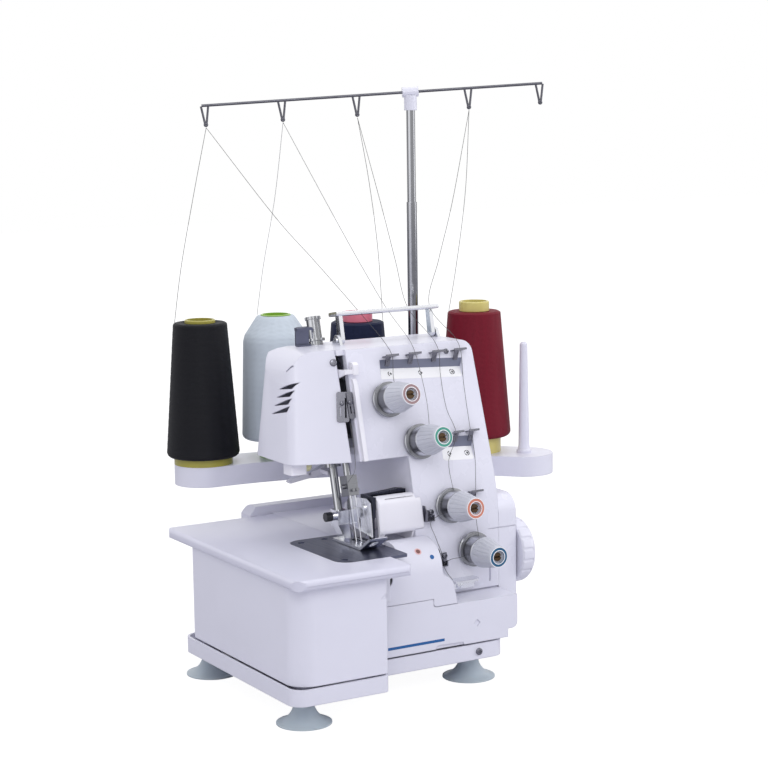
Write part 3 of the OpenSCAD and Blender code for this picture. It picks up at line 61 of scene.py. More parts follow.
def m(x, y, z):
    """A point in machine millimetres, as the scene's metres."""
    return Vector(((x - MID_X) / 1000, (y - MID_Y) / 1000, z / 1000))


def face_y(z):
    """Where the upright's front is at a height."""
    if z <= BEND_LOW:
        return FACE_Y
    if z <= BEND_HIGH:
        return FACE_Y + tan(LEAN) * (z - BEND_LOW) ** 2 / (2 * BEND)
    return FACE_Y + tan(LEAN) * (BEND // 2 + z - BEND_HIGH)


def lean_at(z):
    """How far the upright's front leans at a height, in radians."""
    if z <= BEND_LOW:
        return 0
    if z >= BEND_HIGH:
        return LEAN
    return atan2(tan(LEAN) * (z - BEND_LOW) / BEND, 1)


def srgb(r, g, b):
    return tuple(((c / 255 / 12.92) if c <= 10 else ((c / 255 + 0.055) / 1.055) ** 2.4) for c in (r, g, b))


# ---------------------------------------------------------------- materials
class Mat:
    """A principled material on object coordinates, and short names for its nodes."""

    def __init__(self, name, color, rough=0.4, metal=0.0, **inputs):
        self.mat = bpy.data.materials.new(name)
        self.mat.use_nodes = True
        self.nt = self.mat.node_tree
        self.b = self.nt.nodes["Principled BSDF"]
        self.color = color
        self.b.inputs["Base Color"].default_value = (*color, 1)
        self.b.inputs["Roughness"].default_value = rough
        self.b.inputs["Metallic"].default_value = metal
        for k, v in inputs.items():
            self.b.inputs[k.replace("_", " ")].default_value = v
        self.coord = self.n("ShaderNodeTexCoord").outputs["Object"]

    def n(self, kind, **props):
        node = self.nt.nodes.new(kind)
        for k, v in props.items():
            setattr(node, k, v)
        return node

    def link(self, a, b):
        self.nt.links.new(a, b)

    def mapped(self, scale, rotation=(0, 0, 0)):
        mp = self.n("ShaderNodeMapping")
        mp.inputs["Scale"].default_value = scale
        mp.inputs["Rotation"].default_value = rotation
        self.link(self.coord, mp.inputs["Vector"])
        return mp.outputs["Vector"]

    def noise(self, scale, detail=3.0, rough=0.5, vector=None):
        t = self.n("ShaderNodeTexNoise")
        t.inputs["Scale"].default_value = scale
        t.inputs["Detail"].default_value = detail
        t.inputs["Roughness"].default_value = rough
        self.link(vector or self.coord, t.inputs["Vector"])
        return t.outputs["Fac"]

    def ramp(self, fac, stops):
        r = self.n("ShaderNodeValToRGB")
        e = r.color_ramp.elements
        e[0].position, e[0].color = stops[0][0], (*stops[0][1], 1)
        e[1].position, e[1].color = stops[-1][0], (*stops[-1][1], 1)
        for p, c in stops[1:-1]:
            e.new(p).color = (*c, 1)
        self.link(fac, r.inputs["Fac"])
        return r.outputs["Color"]

    def remap(self, fac, lo, hi):
        r = self.n("ShaderNodeMapRange")
        r.inputs["To Min"].default_value = lo
        r.inputs["To Max"].default_value = hi
        self.link(fac, r.inputs["Value"])
        return r.outputs["Result"]

    def math(self, op, a, b=None):
        x = self.n("ShaderNodeMath", operation=op)
        for i, v in enumerate((a, b)):
            if v is None:
                continue
            if isinstance(v, (int, float)):
                x.inputs[i].default_value = v
            else:
                self.link(v, x.inputs[i])
        return x.outputs[0]

    def vary(self, amount, scale=30):
        """Slight mottling of the colour."""
        lo = tuple(max(0, c * (1 - amount)) for c in self.color)
        hi = tuple(min(1, c * (1 + amount)) for c in self.color)
        self.link(self.ramp(self.noise(scale, 4), [(0.3, lo), (0.7, hi)]), self.b.inputs["Base Color"])
        return self

    def rough(self, lo, hi, scale=60, vector=None):
        """Roughness wandering between two values."""
        self.link(self.remap(self.noise(scale, 3, vector=vector), lo, hi), self.b.inputs["Roughness"])
        return self

    def bump(self, height, strength, distance, soft=None):
        """Relief from a height, over edges rounded by soft metres."""
        x = self.n("ShaderNodeBump")
        x.inputs["Strength"].default_value = strength
        x.inputs["Distance"].default_value = distance
        self.link(height, x.inputs["Height"])
        if soft:
            self.link(self.bevel(soft), x.inputs["Normal"])
        self.link(x.outputs["Normal"], self.b.inputs["Normal"])
        return self

    def bevel(self, radius, samples=4):
        x = self.n("ShaderNodeBevel", samples=samples)
        x.inputs["Radius"].default_value = radius
        return x.outputs["Normal"]


def plastic(name, color, rough=0.3, soft=0.0012, coat=0.12):
    """Moulded plastic with a faint grain."""
    t = Mat(name, color, rough, 0, Coat_Weight=coat, Coat_Roughness=0.12, Specular_IOR_Level=0.5)
    t.vary(0.012, 22).rough(rough - 0.05, rough + 0.07, 45)
    t.bump(t.noise(1500, 2), 0.12, 0.00002, soft)
    return t


# Place across the turn of a surface, and how bright the studio's painted reflection is there
STUDIO = [(0.0, 0.5), (0.14, 0.2), (0.24, 0.95), (0.36, 1.05), (0.46, 0.42), (0.54, 0.36), (0.62, 0.95), (0.74, 1.1),
          (0.86, 0.4), (0.93, 0.16), (1.0, 0.55)]
STUDIO_SIDE = (0.86, -0.5, 0.1)
ROUND_GRAIN = (300, 300, 300)


def metal(name, color, rough=0.2, grain=(60, 60, 1200), soft=0.0003, strength=0.1, painted_reflection=False):
    """Metal with fine grain; with the last option set, polished pieces get the light and dark bands of a studio's
    reflection painted into their base colour.
    """
    t = Mat(name, color, rough, 1.0)
    v = t.mapped(grain)
    t.vary(0.05, 40).rough(rough * 0.7, rough * 1.5, 1.0, v)
    if painted_reflection:
        # Painted reflection: studio bands painted into the base colour by which way each face turns
        g = t.n("ShaderNodeNewGeometry")
        d = t.n("ShaderNodeVectorMath", operation="DOT_PRODUCT")
        t.link(g.outputs["Normal"], d.inputs[0])
        d.inputs[1].default_value = STUDIO_SIDE
        t.link(t.ramp(t.remap(t.math("ADD", d.outputs["Value"], 1.0), 0.0, 0.5),
                      [(p, tuple(min(1, c * k) for c in color)) for p, k in STUDIO]), t.b.inputs["Base Color"])
    t.bump(t.noise(1.0, 3, 0.6, v), strength, 0.00003, soft)
    return t


# ---------------------------------------------------------------- camera
CAMERA_AT = (-817.8, -1534.5, 557.2)
AZIMUTH, ELEVATION, ROLL = radians(-30.53), radians(8.35), radians(-0.83)
cam = bpy.data.cameras.new("camera")
cam.sensor_width = 36
cam.lens = 95.16
back = Vector((sin(AZIMUTH) * cos(ELEVATION), -cos(AZIMUTH) * cos(ELEVATION), sin(ELEVATION)))
level = Vector((cos(AZIMUTH), sin(AZIMUTH), 0))
upright = back.cross(level)
rolled = (level * cos(ROLL) + upright * sin(ROLL), level * -sin(ROLL) + upright * cos(ROLL), back)
camera = bpy.data.objects.new("camera", cam)
bpy.context.scene.collection.objects.link(camera)
camera.matrix_world = Matrix.Translation(m(*CAMERA_AT)) @ Matrix(rolled).transposed().to_4x4()
bpy.context.scene.camera = camera


# ---------------------------------------------------------------- threads
# The bodies a thread runs between, and its points in machine millimetres from its take-off to its other end
THREADS = {
    "supply_1": ("machine thread_mast", [(11, 278, 316), (24, 283, 382), (41, 287, 450), (58.6, 289.3, 519)]),
    "supply_2": ("machine thread_mast", [(98, 266, 333), (105, 264, 380), (119, 262, 450), (127.5, 257.5, 523)]),
    "supply_3": ("machine thread_mast", [(216, 218, 316), (211, 219, 400), (203, 222, 470), (194.6, 226.5, 526.6)]),
    "supply_4": ("machine thread_mast", [(269, 180, 327), (279, 180, 375), (291, 180, 450), (296.1, 179.5, 532.3)]),
    "feed_1": ("thread_mast machine", [(58.6, 289.3, 519), (96, 209, 428), (113, 173, 393), (134, 127, 347.6),
                                       (137.6, 80, 318.6), (139, 72.2, 309.3), (136.6, 66.6, 290), (134.5, 57.2, 276.5)]),
    "feed_2": ("thread_mast machine", [(127.5, 257.5, 523), (147, 190, 430), (157, 158, 386), (165.6, 127, 347.6),
                                       (164.4, 80, 318.6), (164.4, 72.2, 309.3), (167, 67, 290), (168, 58, 262),
                                       (164, 47.6, 236.5)]),
    "feed_3": ("thread_mast machine", [(194.6, 226.5, 526.6), (192.5, 176, 436), (190.6, 150, 389), (189, 127, 347.6),
                                       (190, 80, 318.6), (190.2, 72.2, 309.3), (189.4, 69, 290), (191, 61, 256),
                                       (197, 53.6, 231.8), (185.6, 49.4, 209), (185.1, 42.6, 186), (185, 36.6, 176)]),
    "feed_4": ("thread_mast machine", [(296.1, 179.5, 532.3), (262, 160, 440), (236, 144, 388), (214, 127, 347.6),
                                       (214.4, 80, 318.6), (214.4, 72.2, 309.3), (214.2, 67, 278.5),
                                       (214.8, 56.4, 233), (214, 48, 210), (211, 42.4, 178), (210.5, 41, 150),
                                       (209.4, 34, 131.5)]),
    "looper_upper": ("machine", [(176, 34.6, 163), (166, 38, 160), (159.4, 40.4, 154.2), (165, 41, 139),
                                 (171.6, 40.4, 122.6)]),
    "looper_lower": ("machine", [(200, 34, 121.4), (191, 38, 117.4), (181, 41, 115.8), (174, 41, 112), (179, 42.4, 102),
                                 (184.2, 42.6, 95.8)]),
    "needle_left": ("machine", [(87.4, 62.6, 252), (86.8, 58.6, 242.8), (85.2, 50.6, 212.2), (90.6, 76, 190),
                                (92.2, 74, 172), (92.4, 65.4, 140.6)]),
}
THREAD_TINT = {"supply_1": 0.01, "feed_1": 0.02, "supply_2": 0.3, "feed_2": 0.12, "supply_3": 0.04, "feed_3": 0.03,
               "supply_4": 0.06, "feed_4": 0.03, "looper_upper": 0.03, "looper_lower": 0.04, "needle_left": 0.1}
THREAD_D = 0.0005


def between(p, q, s, u, t):
    """The point at t on the line through p at s and q at u."""
    return p * ((u - t) / (u - s)) + q * ((t - s) / (u - s))


def smooth_path(points, step):
    """Centripetal Catmull-Rom line through given points."""
    pts = [m(*p) for p in points]
    ext = [pts[0] * 2 - pts[1]] + pts + [pts[-1] * 2 - pts[-2]]
    out = []
    for i in range(1, len(ext) - 2):
        p0, p1, p2, p3 = ext[i - 1:i + 3]
        t0 = 0.0
        t1 = t0 + (p1 - p0).length ** 0.5
        t2 = t1 + (p2 - p1).length ** 0.5
        t3 = t2 + (p3 - p2).length ** 0.5
        n = max(1, int((p2 - p1).length / step))
        for k in range(n):
            t = t1 + (t2 - t1) * k / n
            a1, a2, a3 = between(p0, p1, t0, t1, t), between(p1, p2, t1, t2, t), between(p2, p3, t2, t3, t)
            b1, b2 = between(a1, a2, t0, t2, t), between(a2, a3, t1, t3, t)
            out.append(between(b1, b2, t1, t2, t))
    out.append(pts[-1])
    return out


def thread_material(name, tone):
    t = Mat(name, (tone, tone, tone * 1.04), 0.6, 0, Sheen_Weight=0.3)
    t.vary(0.12, 900)
    t.bump(t.noise(2500, 2), 0.3, 0.0001)
    return t


def mesh_object(name, bm, mat, smooth=True):
    me = bpy.data.meshes.new(name)
    bm.to_mesh(me)
    bm.free()
    for p in me.polygons:
        p.use_smooth = smooth
    me.materials.append(mat)
    ob = bpy.data.objects.new(name, me)
    bpy.context.scene.collection.objects.link(ob)
    return ob


def band(bm, a, b):
    """Faces between two closed loops of vertices."""
    n = len(a)
    for k in range(n):
        bm.faces.new((a[k], a[(k + 1) % n], b[(k + 1) % n], b[k]))


def tube(name, line, radius, mat, sides=6):
    """Round wire along a line, with closed ends."""
    bm = bmesh.new()
    side = (line[1] - line[0]).normalized().orthogonal().normalized()
    rings = []
    for i, p in enumerate(line):
        t = (line[min(i + 1, len(line) - 1)] - line[max(i - 1, 0)]).normalized()
        side = (side - t * side.dot(t)).normalized()
        other = t.cross(side)
        rings.append([bm.verts.new(p + (side * cos(2 * pi * k / sides) + other * sin(2 * pi * k / sides)) * radius)
                      for k in range(sides)])
    for a, b in zip(rings, rings[1:]):
        band(bm, a, b)
    bm.faces.new(rings[0][::-1])
    bm.faces.new(rings[-1])
    return mesh_object(name, bm, mat)


LONG_STEP, SHORT_STEP = 0.005, 0.002  # between the rings of a thread, to the mast and on the machine
for name, (route, points) in THREADS.items():
    bodies = route.split()
    line = smooth_path(points, LONG_STEP if len(bodies) > 1 else SHORT_STEP)
    ob = tube("thread_" + name, line, THREAD_D / 2, thread_material("thread_" + name, THREAD_TINT[name]).mat)
    if bodies[0] != "machine":
        line = line[::-1]
    if len(bodies) == 2:
        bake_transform(ob)
    else:
        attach(ob, "machine")

# ---------------------------------------------------------------- finishes
white = plastic("moulding", srgb(226, 226, 238))
white_panel = plastic("moulding_panel", srgb(230, 230, 242), 0.26)
white_table = plastic("moulding_table", srgb(214, 214, 229), 0.3)
white_pale = plastic("moulding_pale", srgb(244, 243, 250), 0.3, 0.0006)
chrome = metal("chrome", (0.68, 0.69, 0.73), 0.13, ROUND_GRAIN, 0.0004, 0.04, True)
bright = metal("bright_chrome", (0.8, 0.81, 0.85), 0.16, ROUND_GRAIN, 0.0003, 0.04)
brushed = metal("brushed", (0.66, 0.67, 0.72), 0.28, (40, 40, 1400), 0.0003, 0.12, True)
steel = metal("ground_steel", (0.34, 0.35, 0.39), 0.28, (1200, 60, 60), 0.0003, 0.1)
dark_steel = metal("dark_steel", srgb(104, 107, 126), 0.34, (1400, 40, 200), 0.0004, 0.1)
blued = metal("blued_steel", srgb(60, 61, 72), 0.26, (300, 300, 60), 0.0004, 0.08)
guide_steel = metal("guide_steel", (0.2, 0.2, 0.235), 0.22, ROUND_GRAIN, 0.0003, 0.06)
brass = metal("brass", (0.1, 0.065, 0.04), 0.3, (200, 200, 200), 0.0004, 0.05)
cast = metal("cast", (0.35, 0.36, 0.4), 0.5, (500, 500, 500), 0.0006, 0.4)
black = plastic("black", srgb(34, 34, 40), 0.4, 0.0004)
knob = plastic("knob_grey", srgb(202, 204, 213), 0.36, 0.0003, 0.1)
lens = Mat("lens", srgb(243, 239, 190), 0.2, 0, Transmission_Weight=0.25, IOR=1.45).vary(0.03, 300)
lens.bump(lens.noise(700, 2), 0.2, 0.0001)
rubber = Mat("suction_rubber", srgb(196, 208, 216), 0.42, 0, Transmission_Weight=0.12, IOR=1.4,
             Subsurface_Weight=0.25, Subsurface_Radius=(0.004, 0.005, 0.006), Subsurface_Scale=1.0).vary(0.03, 60)
rubber.bump(rubber.noise(400, 3), 0.15, 0.00005, 0.0004)


WIND_RATE, LAYER_RATE = 5200.0, 900.0  # waves of the thread and of its layers, in radians a metre
CROSSING = 10.0  # waves the thread leans by in a turn


def wound(name, color, sheen, centre):
    """Thread wound in crossing helices on a cone."""
    t = Mat(name, color, 0.62, 0, Sheen_Weight=sheen, Sheen_Roughness=0.4, Specular_IOR_Level=0.25)
    sep = t.n("ShaderNodeSeparateXYZ")
    t.link(t.coord, sep.inputs[0])
    x = t.math("SUBTRACT", sep.outputs["X"], centre.x)
    y = t.math("SUBTRACT", sep.outputs["Y"], centre.y)
    angle = t.math("ARCTAN2", y, x)
    waves = []
    for crossing in (CROSSING, -CROSSING):
        phase = t.math("ADD", t.math("MULTIPLY", sep.outputs["Z"], WIND_RATE), t.math("MULTIPLY", angle, crossing))
        waves.append(t.math("SINE", phase))
    weave = t.math("ADD", t.math("MULTIPLY", waves[0], 0.5), t.math("MULTIPLY", waves[1], 0.5))
    layers = t.math("SINE", t.math("MULTIPLY", sep.outputs["Z"], LAYER_RATE))
    mix = t.math("ADD", t.math("MULTIPLY", weave, 0.3), t.math("MULTIPLY", layers, 0.03))
    fuzz = t.remap(t.noise(60, 3), 0.42, 0.58)
    tone = t.math("ADD", t.math("MULTIPLY", mix, 0.5), fuzz)
    lo = tuple(c * 0.84 for c in color)
    hi = tuple(min(1, c * 1.14) for c in color)
    t.link(t.ramp(tone, [(0.2, lo), (0.8, hi)]), t.b.inputs["Base Color"])
    t.bump(t.math("ADD", weave, t.math("MULTIPLY", t.noise(1500, 2), 0.6)), 0.5, 0.00025)
    return t


def on_ring(deg):
    """The place on the stand's arc at an angle."""
    return STAND[0] + STAND[2] * cos(radians(deg)), STAND[1] + STAND[2] * sin(radians(deg))


# Angles of the pins that carry cones, colour and sheen of their thread, and colour of their tubes
PINS = [90.5, 78.4, 65.8, 48.0]
CONES = [(srgb(8, 9, 17), 0.0), (srgb(204, 214, 223), 0.1), (srgb(8, 20, 54), 0.0), (srgb(112, 6, 32), 0.0)]
TUBES = [srgb(168, 160, 66), srgb(140, 186, 60), srgb(226, 120, 140), srgb(214, 202, 120)]

# Tubes: one node, coloured by place
tubes = Mat("tubes", (0.5, 0.5, 0.2), 0.35, 0, Coat_Weight=0.2)
sep = tubes.n("ShaderNodeSeparateXYZ")
tubes.link(tubes.coord, sep.inputs[0])
last = None
for i, color in enumerate(TUBES):
    col = tubes.ramp(tubes.noise(50, 3), [(0.2, tuple(c * 0.9 for c in color)),
                                          (0.8, tuple(min(1, c * 1.1) for c in color))])
    if last is None:
        last = col
        continue
    limit = (m(on_ring(PINS[i - 1])[0], 0, 0).x + m(on_ring(PINS[i])[0], 0, 0).x) / 2
    mx = tubes.n("ShaderNodeMix", data_type="RGBA")
    tubes.link(tubes.math("GREATER_THAN", sep.outputs["X"], limit), mx.inputs[0])
    tubes.link(last, mx.inputs[6])
    tubes.link(col, mx.inputs[7])
    last = mx.outputs[2]
tubes.link(last, tubes.b.inputs["Base Color"])
tubes.bump(tubes.noise(900, 2), 0.1, 0.00003, 0.0004)

bar_wire = metal("bar_wire", (0.12, 0.12, 0.14), 0.3, ROUND_GRAIN, 0.0003, 0.04)

USE = [
    (bar_wire, "thread_bar"),
    (white, "lower_housing front_block base_tray handwheel head_housing rear_cover face_cover spool_stand "
            "spool_pins mast_head looper_cover side_cover"),
    (white_table, "cloth_plate"),
    (white_panel, "front_panel belt_cover"),
    (white_pale, "knife_guard take_up_lever slot_bar lamp_housing lifter_lever"),
    (chrome, "presser_bar needle_bar pressure_screw mast_upper mast_lower"),
    (bright, "presser_foot needle_guard needles release_tab carry_handle handle_brackets"),
    (brushed, "tension_discs needle_clamp"),
    (guide_steel, "thread_guides screws"),
    (steel, "feed_dogs lower_knife upper_looper lower_looper looper_shafts main_shaft"),
    (dark_steel, "needle_plate gauge_plate"),
    (blued, "upper_knife"),
    (brass, "tension_bolts"),
    (cast, "bar_frame"),
    (black, "power_switch power_socket"),
    (knob, "tension_knob_1 tension_knob_2 tension_knob_3 tension_knob_4"),
    (lens, "lamp_lens"),
    (rubber, "suction_feet"),
    (tubes, "spool_tubes"),
]


def dress(name, mat):
    nodes[name].data.materials.clear()
    nodes[name].data.materials.append(mat)


for finish, names in USE:
    for name in names.split():
        dress(name, finish.mat)
for i, (color, sheen) in enumerate(CONES):
    dress("thread_cone_%d" % (i + 1), wound("wound_%d" % (i + 1), color, sheen, m(*on_ring(PINS[i]), 0)).mat)


# Cone 1 is wound higher than its solid: the same outline, taller, with the ridges of its layers
CONE_FOOT, CONE_TOP_R, CONE_BORE_R = 196, 26.6, 15.3
SHOULDER_LOW, SHOULDER_HIGH = 5.5, 2.4  # heights of its rounded lower and upper edge


def wound_cone(name, height, mat, rows=150, sides=96):
    x, y = on_ring(PINS[0])
    profile = [(27.0, 0.6), (29, 0.8), (33.5, 1.6), (35.2, 3.2), (CONE_R, SHOULDER_LOW)]
    straight = height - SHOULDER_HIGH - SHOULDER_LOW
    for k in range(rows + 1):
        h = SHOULDER_LOW + straight * k / rows
        r = CONE_R + (CONE_TOP_R - CONE_R) * (h - SHOULDER_LOW) / straight
        profile.append((r + 0.07 * sin(k * 2.1) + 0.05 * sin(k * 0.73), h))
    profile += [(25.8, height - 1.2), (24.6, height - 0.6), (CONE_BORE_R, height - 0.6), (CONE_BORE_R, height - 4)]
    bm = bmesh.new()
    loops = [[bm.verts.new(m(x + r * cos(2 * pi * k / sides), y + r * sin(2 * pi * k / sides), CONE_FOOT + h))
              for k in range(sides)] for r, h in profile]
    for a, b in zip(loops, loops[1:] + loops[:1]):
        band(bm, a, b)
    bmesh.ops.recalc_face_normals(bm, faces=bm.faces)
    return mesh_object(name, bm, mat)


cone = wound_cone("wound_thread_1", 134.6, nodes["thread_cone_1"].data.materials[0])
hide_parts("thread_cone_1")
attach(cone, "machine")


def painted(node, mat, test):
    """Gives the faces of a CAD node whose centre passes test, in machine millimetres, another material."""
    me = nodes[node].data
    me.materials.append(mat)
    for p in me.polygons:
        c = p.center
        if test(c.x * 1000 + MID_X, c.y * 1000 + MID_Y, c.z * 1000, p.normal):
            p.material_index = len(me.materials) - 1


# Smooth shading with creases kept where faces turn sharply
for node in nodes.values():
    me = node.data
    if "custom_normal" in me.attributes:
        me.attributes.remove(me.attributes["custom_normal"])
    me.polygons.foreach_set("use_smooth", [True] * len(me.polygons))
    weld = node.modifiers.new("weld", "WELD")
    weld.merge_threshold = 2e-6
    creases = node.modifiers.new("creases", "EDGE_SPLIT")
    creases.split_angle = radians(28)
    creases.use_edge_sharp = False


# ---------------------------------------------------------------- dial fronts
RINGS = [srgb(158, 128, 130), srgb(66, 152, 134), srgb(206, 128, 106), srgb(18, 88, 126)]
DIALS = [(130.7, 268.6), (158.3, 227.7), (184.1, 166.6), (208.1, 122.5)]


DIAL_FRONT = 21 + 25  # drum and knob, from the panel to the knob's front
white_trim = plastic("dial_trim", srgb(240, 240, 244), 0.3, 0.0002)


def ring_strip(name, base, out, lift, radii, height, mat, sides=64):
    """Flat ring standing on a dial's front: inner and outer radius and height in millimetres."""
    r0, r1 = radii
    e = out.orthogonal().normalized()
    f = out.cross(e)
    profile = [(r0, 0), (r0, height * 0.8), (r0 + 0.12, height), (r1 - 0.12, height), (r1, height * 0.8), (r1, 0)]
    bm = bmesh.new()
    loops = []
    for k in range(sides):
        d = e * cos(2 * pi * k / sides) + f * sin(2 * pi * k / sides)
        loops.append([bm.verts.new(base + (d * rr + out * (lift + h)) / 1000) for rr, h in profile])
    for a, b in zip(loops, loops[1:] + loops[:1]):
        band(bm, a, b)
    bmesh.ops.recalc_face_normals(bm, faces=bm.faces)
    return mesh_object(name, bm, mat, False)


for i, (x, z) in enumerate(DIALS):
    lean = lean_at(z)
    base, out = m(x, face_y(z), z), Vector((0, -cos(lean), sin(lean)))
    front = base + out * (DIAL_FRONT + 0.3) / 1000
    painted("tension_knob_%d" % (i + 1), plastic("dial_ring_%d" % (i + 1), RINGS[i], 0.42, 0.0003, 0.0).mat,
            lambda px, py, pz, nrm: (m(px, py, pz) - front).dot(out) > -0.0006)
    ring = ring_strip("dial_edge_%d" % (i + 1), base, out, DIAL_FRONT + 0.04, (9.03, 9.8), 0.7, white_trim.mat)
    inner = ring_strip("dial_inner_edge_%d" % (i + 1), base, out, DIAL_FRONT + 0.62, (6.0, 6.8), 0.25, white_trim.mat)
    for ob in (ring, inner):
        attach(ob, "dial_%d" % (i + 1))

THUMB_SCREW_X, THUMB_SCREW_Z = 94 - 9.2, 150  # the foot's thumb screw is left of one and above the other
foot_knob = plastic("thumb_knob", srgb(32, 33, 40), 0.35, 0.0004)
painted("presser_foot", foot_knob.mat, lambda x, y, z, nrm: x < THUMB_SCREW_X and z > THUMB_SCREW_Z)

# ---------------------------------------------------------------- labels and marks on the panel
# Left and right end, top and height of the two recesses that carry labels
RECESS = [(129, 219, 303, 18.6), (184, 219.5, 229, 23)]
RECESS_DEPTH = 4.6
RECESS_TURN = radians(-3)
paper = plastic("label_paper", srgb(250, 250, 252), 0.42, 0.0001, 0.05)
ink = plastic("label_ink", srgb(34, 36, 42), 0.5, 0.0001, 0.0)
blue_ink = plastic("label_blue", srgb(22, 92, 156), 0.42, 0.0001, 0.05)
brown_ink = plastic("dot_brown", srgb(128, 84, 80), 0.42, 0.0001, 0.05)
pink_ink = plastic("dot_pink", srgb(232, 190, 190), 0.42, 0.0001, 0.05)


def panel_frame(x, z, turn=0.0):
    """Origin on the panel, right, up and outward directions."""
    t = lean_at(z)
    along, rise = RIGHT, Vector((0, sin(t), cos(t)))
    return (m(x, face_y(z), z), along * cos(turn) + rise * sin(turn), rise * cos(turn) - along * sin(turn),
            Vector((0, -cos(t), sin(t))))


def slab(name, frame_, outline, lift, thick, mat):
    """Thin plate with a given outline, in millimetres, in a frame's first two directions."""
    o, e, f, g = frame_
    bm = bmesh.new()
    low = [bm.verts.new(o + (e * x + f * y + g * lift) / 1000) for x, y in outline]
    mid = [bm.verts.new(o + (e * x + f * y + g * (lift + thick * 0.7)) / 1000) for x, y in outline]
    cx = sum(p[0] for p in outline) / len(outline)
    cy = sum(p[1] for p in outline) / len(outline)
    span = max(max(abs(p[0] - cx), abs(p[1] - cy)) for p in outline)
    k = 1 - thick * 0.5 / span
    top = [bm.verts.new(o + (e * (cx + (x - cx) * k) + f * (cy + (y - cy) * k) + g * (lift + thick)) / 1000)
           for x, y in outline]
    band(bm, low, mid)
    band(bm, mid, top)
    bm.faces.new(low[::-1])
    bm.faces.new(top)
    bmesh.ops.recalc_face_normals(bm, faces=bm.faces)
    return mesh_object(name, bm, mat, False)


def rounded(x0, y0, x1, y1, radii, n=6):
    """Rectangle with a radius at its lower left, lower right, upper right and upper left corner."""
    out = []
    for (cx, cy, sx, sy, a0), rr in zip(((x0, y0, 1, 1, 180), (x1, y0, -1, 1, 270), (x1, y1, -1, -1, 0),
                                         (x0, y1, 1, -1, 90)), radii):
        if rr == 0:
            out.append((cx, cy))
            continue
        for k in range(n + 1):
            a = radians(a0 + 90 * k / n)
            out.append((cx + sx * rr + rr * cos(a), cy + sy * rr + rr * sin(a)))
    return out


def joined(name, parts):
    """One object from several of one material."""
    bm = bmesh.new()
    mat = parts[0].data.materials[0]
    for p in parts:
        bm.from_mesh(p.data)
        bpy.data.objects.remove(p)
    return mesh_object(name, bm, mat, False)


def stroke(frame_, a, b):
    """A printed line from a to b."""
    dx, dy = b[0] - a[0], b[1] - a[1]
    d = sqrt(dx * dx + dy * dy)
    nx, ny = -dy / d * STROKE_WIDTH / 2, dx / d * STROKE_WIDTH / 2
    return slab("stroke", frame_, [(a[0] - nx, a[1] - ny), (b[0] - nx, b[1] - ny), (b[0] + nx, b[1] + ny),
                                   (a[0] + nx, a[1] + ny)], CARD_TOP, 0.06, ink.mat)


STROKE_WIDTH, CARD_TOP = 0.85, 0.24
MARK_R = 2.5
# Arcs of the three kinds of mark, in degrees; each has a small cross in it as well
ARCS = [[(120, 240)], [(95, 170), (190, 265)], [(95, 170), (190, 265), (-80, 80)]]
CARD_CORNERS = [(0.6, 3.2, 0.3, 0.3), (3.4, 3.0, 0.3, 0.3)]
# Per label, the share of its width where a mark is, and the mark's kind
MARKS = [[(0.13, 0), (0.5, 1), (0.88, 2)], [(0.27, 1), (0.8, 2)]]
for i, (x0, x1, z, h) in enumerate(RECESS):
    w = (x1 - x0) / 2
    o, e, f, g = panel_frame((x0 + x1) / 2, z, RECESS_TURN)
    # The lower slope of the recess carries the label
    inner_end = Vector((-0.42 * h, -RECESS_DEPTH))
    outer_end = Vector((-h, 0))
    slope = (outer_end - inner_end).length
    down = (outer_end - inner_end) / slope
    up_dir = (f * -down.x + g * -down.y).normalized()
    fr = (o + (f * outer_end.x + g * outer_end.y) / 1000, e, up_dir, e.cross(up_dir))
    card = slab("label_card_%d" % (i + 1), fr, rounded(-w + 0.5, 0.3, w - 0.5, slope - 0.2, CARD_CORNERS[i]),
                0.03, 0.2, paper.mat)
    strokes = []
    for share, kind in MARKS[i]:
        cx, cy = -w + 2 * w * share, slope * 0.5
        for s0, s1 in ARCS[kind]:
            ends = [radians(s0 + (s1 - s0) * k / 4) for k in range(5)]
            ends = [(cx + MARK_R * cos(a), cy + MARK_R * sin(a)) for a in ends]
            strokes += [stroke(fr, a, b) for a, b in zip(ends, ends[1:])]
        strokes.append(stroke(fr, (cx - 0.9, cy), (cx + 1.5, cy)))
        strokes.append(stroke(fr, (cx + 0.3, cy - 1.3), (cx + 0.3, cy + 1.3)))
    marks = joined("label_marks_%d" % (i + 1), strokes)
    for ob in (card, marks):
        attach(ob, "machine")


def disc(name, frame_, r, lift, mat, sides=40):
    return slab(name, frame_, [(r * cos(2 * pi * k / sides), r * sin(2 * pi * k / sides)) for k in range(sides)],
                lift, 0.08, mat)


BED_Y, BED_Z, BED_R = 40, 114, 28  # axis and radius of the bed's rounded shoulder


def shoulder_frame(x, turn):
    """A frame on the bed's rounded shoulder, turned up from the front."""
    return (m(x, BED_Y - BED_R * cos(turn), BED_Z + BED_R * sin(turn)), RIGHT, Vector((0, sin(turn), cos(turn))),
            Vector((0, -cos(turn), sin(turn))))


for name, x, turn, r, lift, mat in (("dot_halo", 132.7, 45, 3.4, 0.02, pink_ink),
                                    ("dot_brown", 132.7, 45, 2.2, 0.12, brown_ink),
                                    ("dot_blue", 145.0, 30, 2.2, 0.02, blue_ink)):
    ob = disc(name, shoulder_frame(x, radians(turn)), r, lift, mat.mat)
    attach(ob, "machine")

# Blue stripe along the foot of the looper cover
stripe = slab("cover_stripe", (m(94.5, 12, 47.6), RIGHT, UPWARD, FORWARD),
              rounded(0, 0, 61, 2.6, (0.4, 0.4, 0.4, 0.4)), 0.03, 0.08, blue_ink.mat)
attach(stripe, "looper_door")

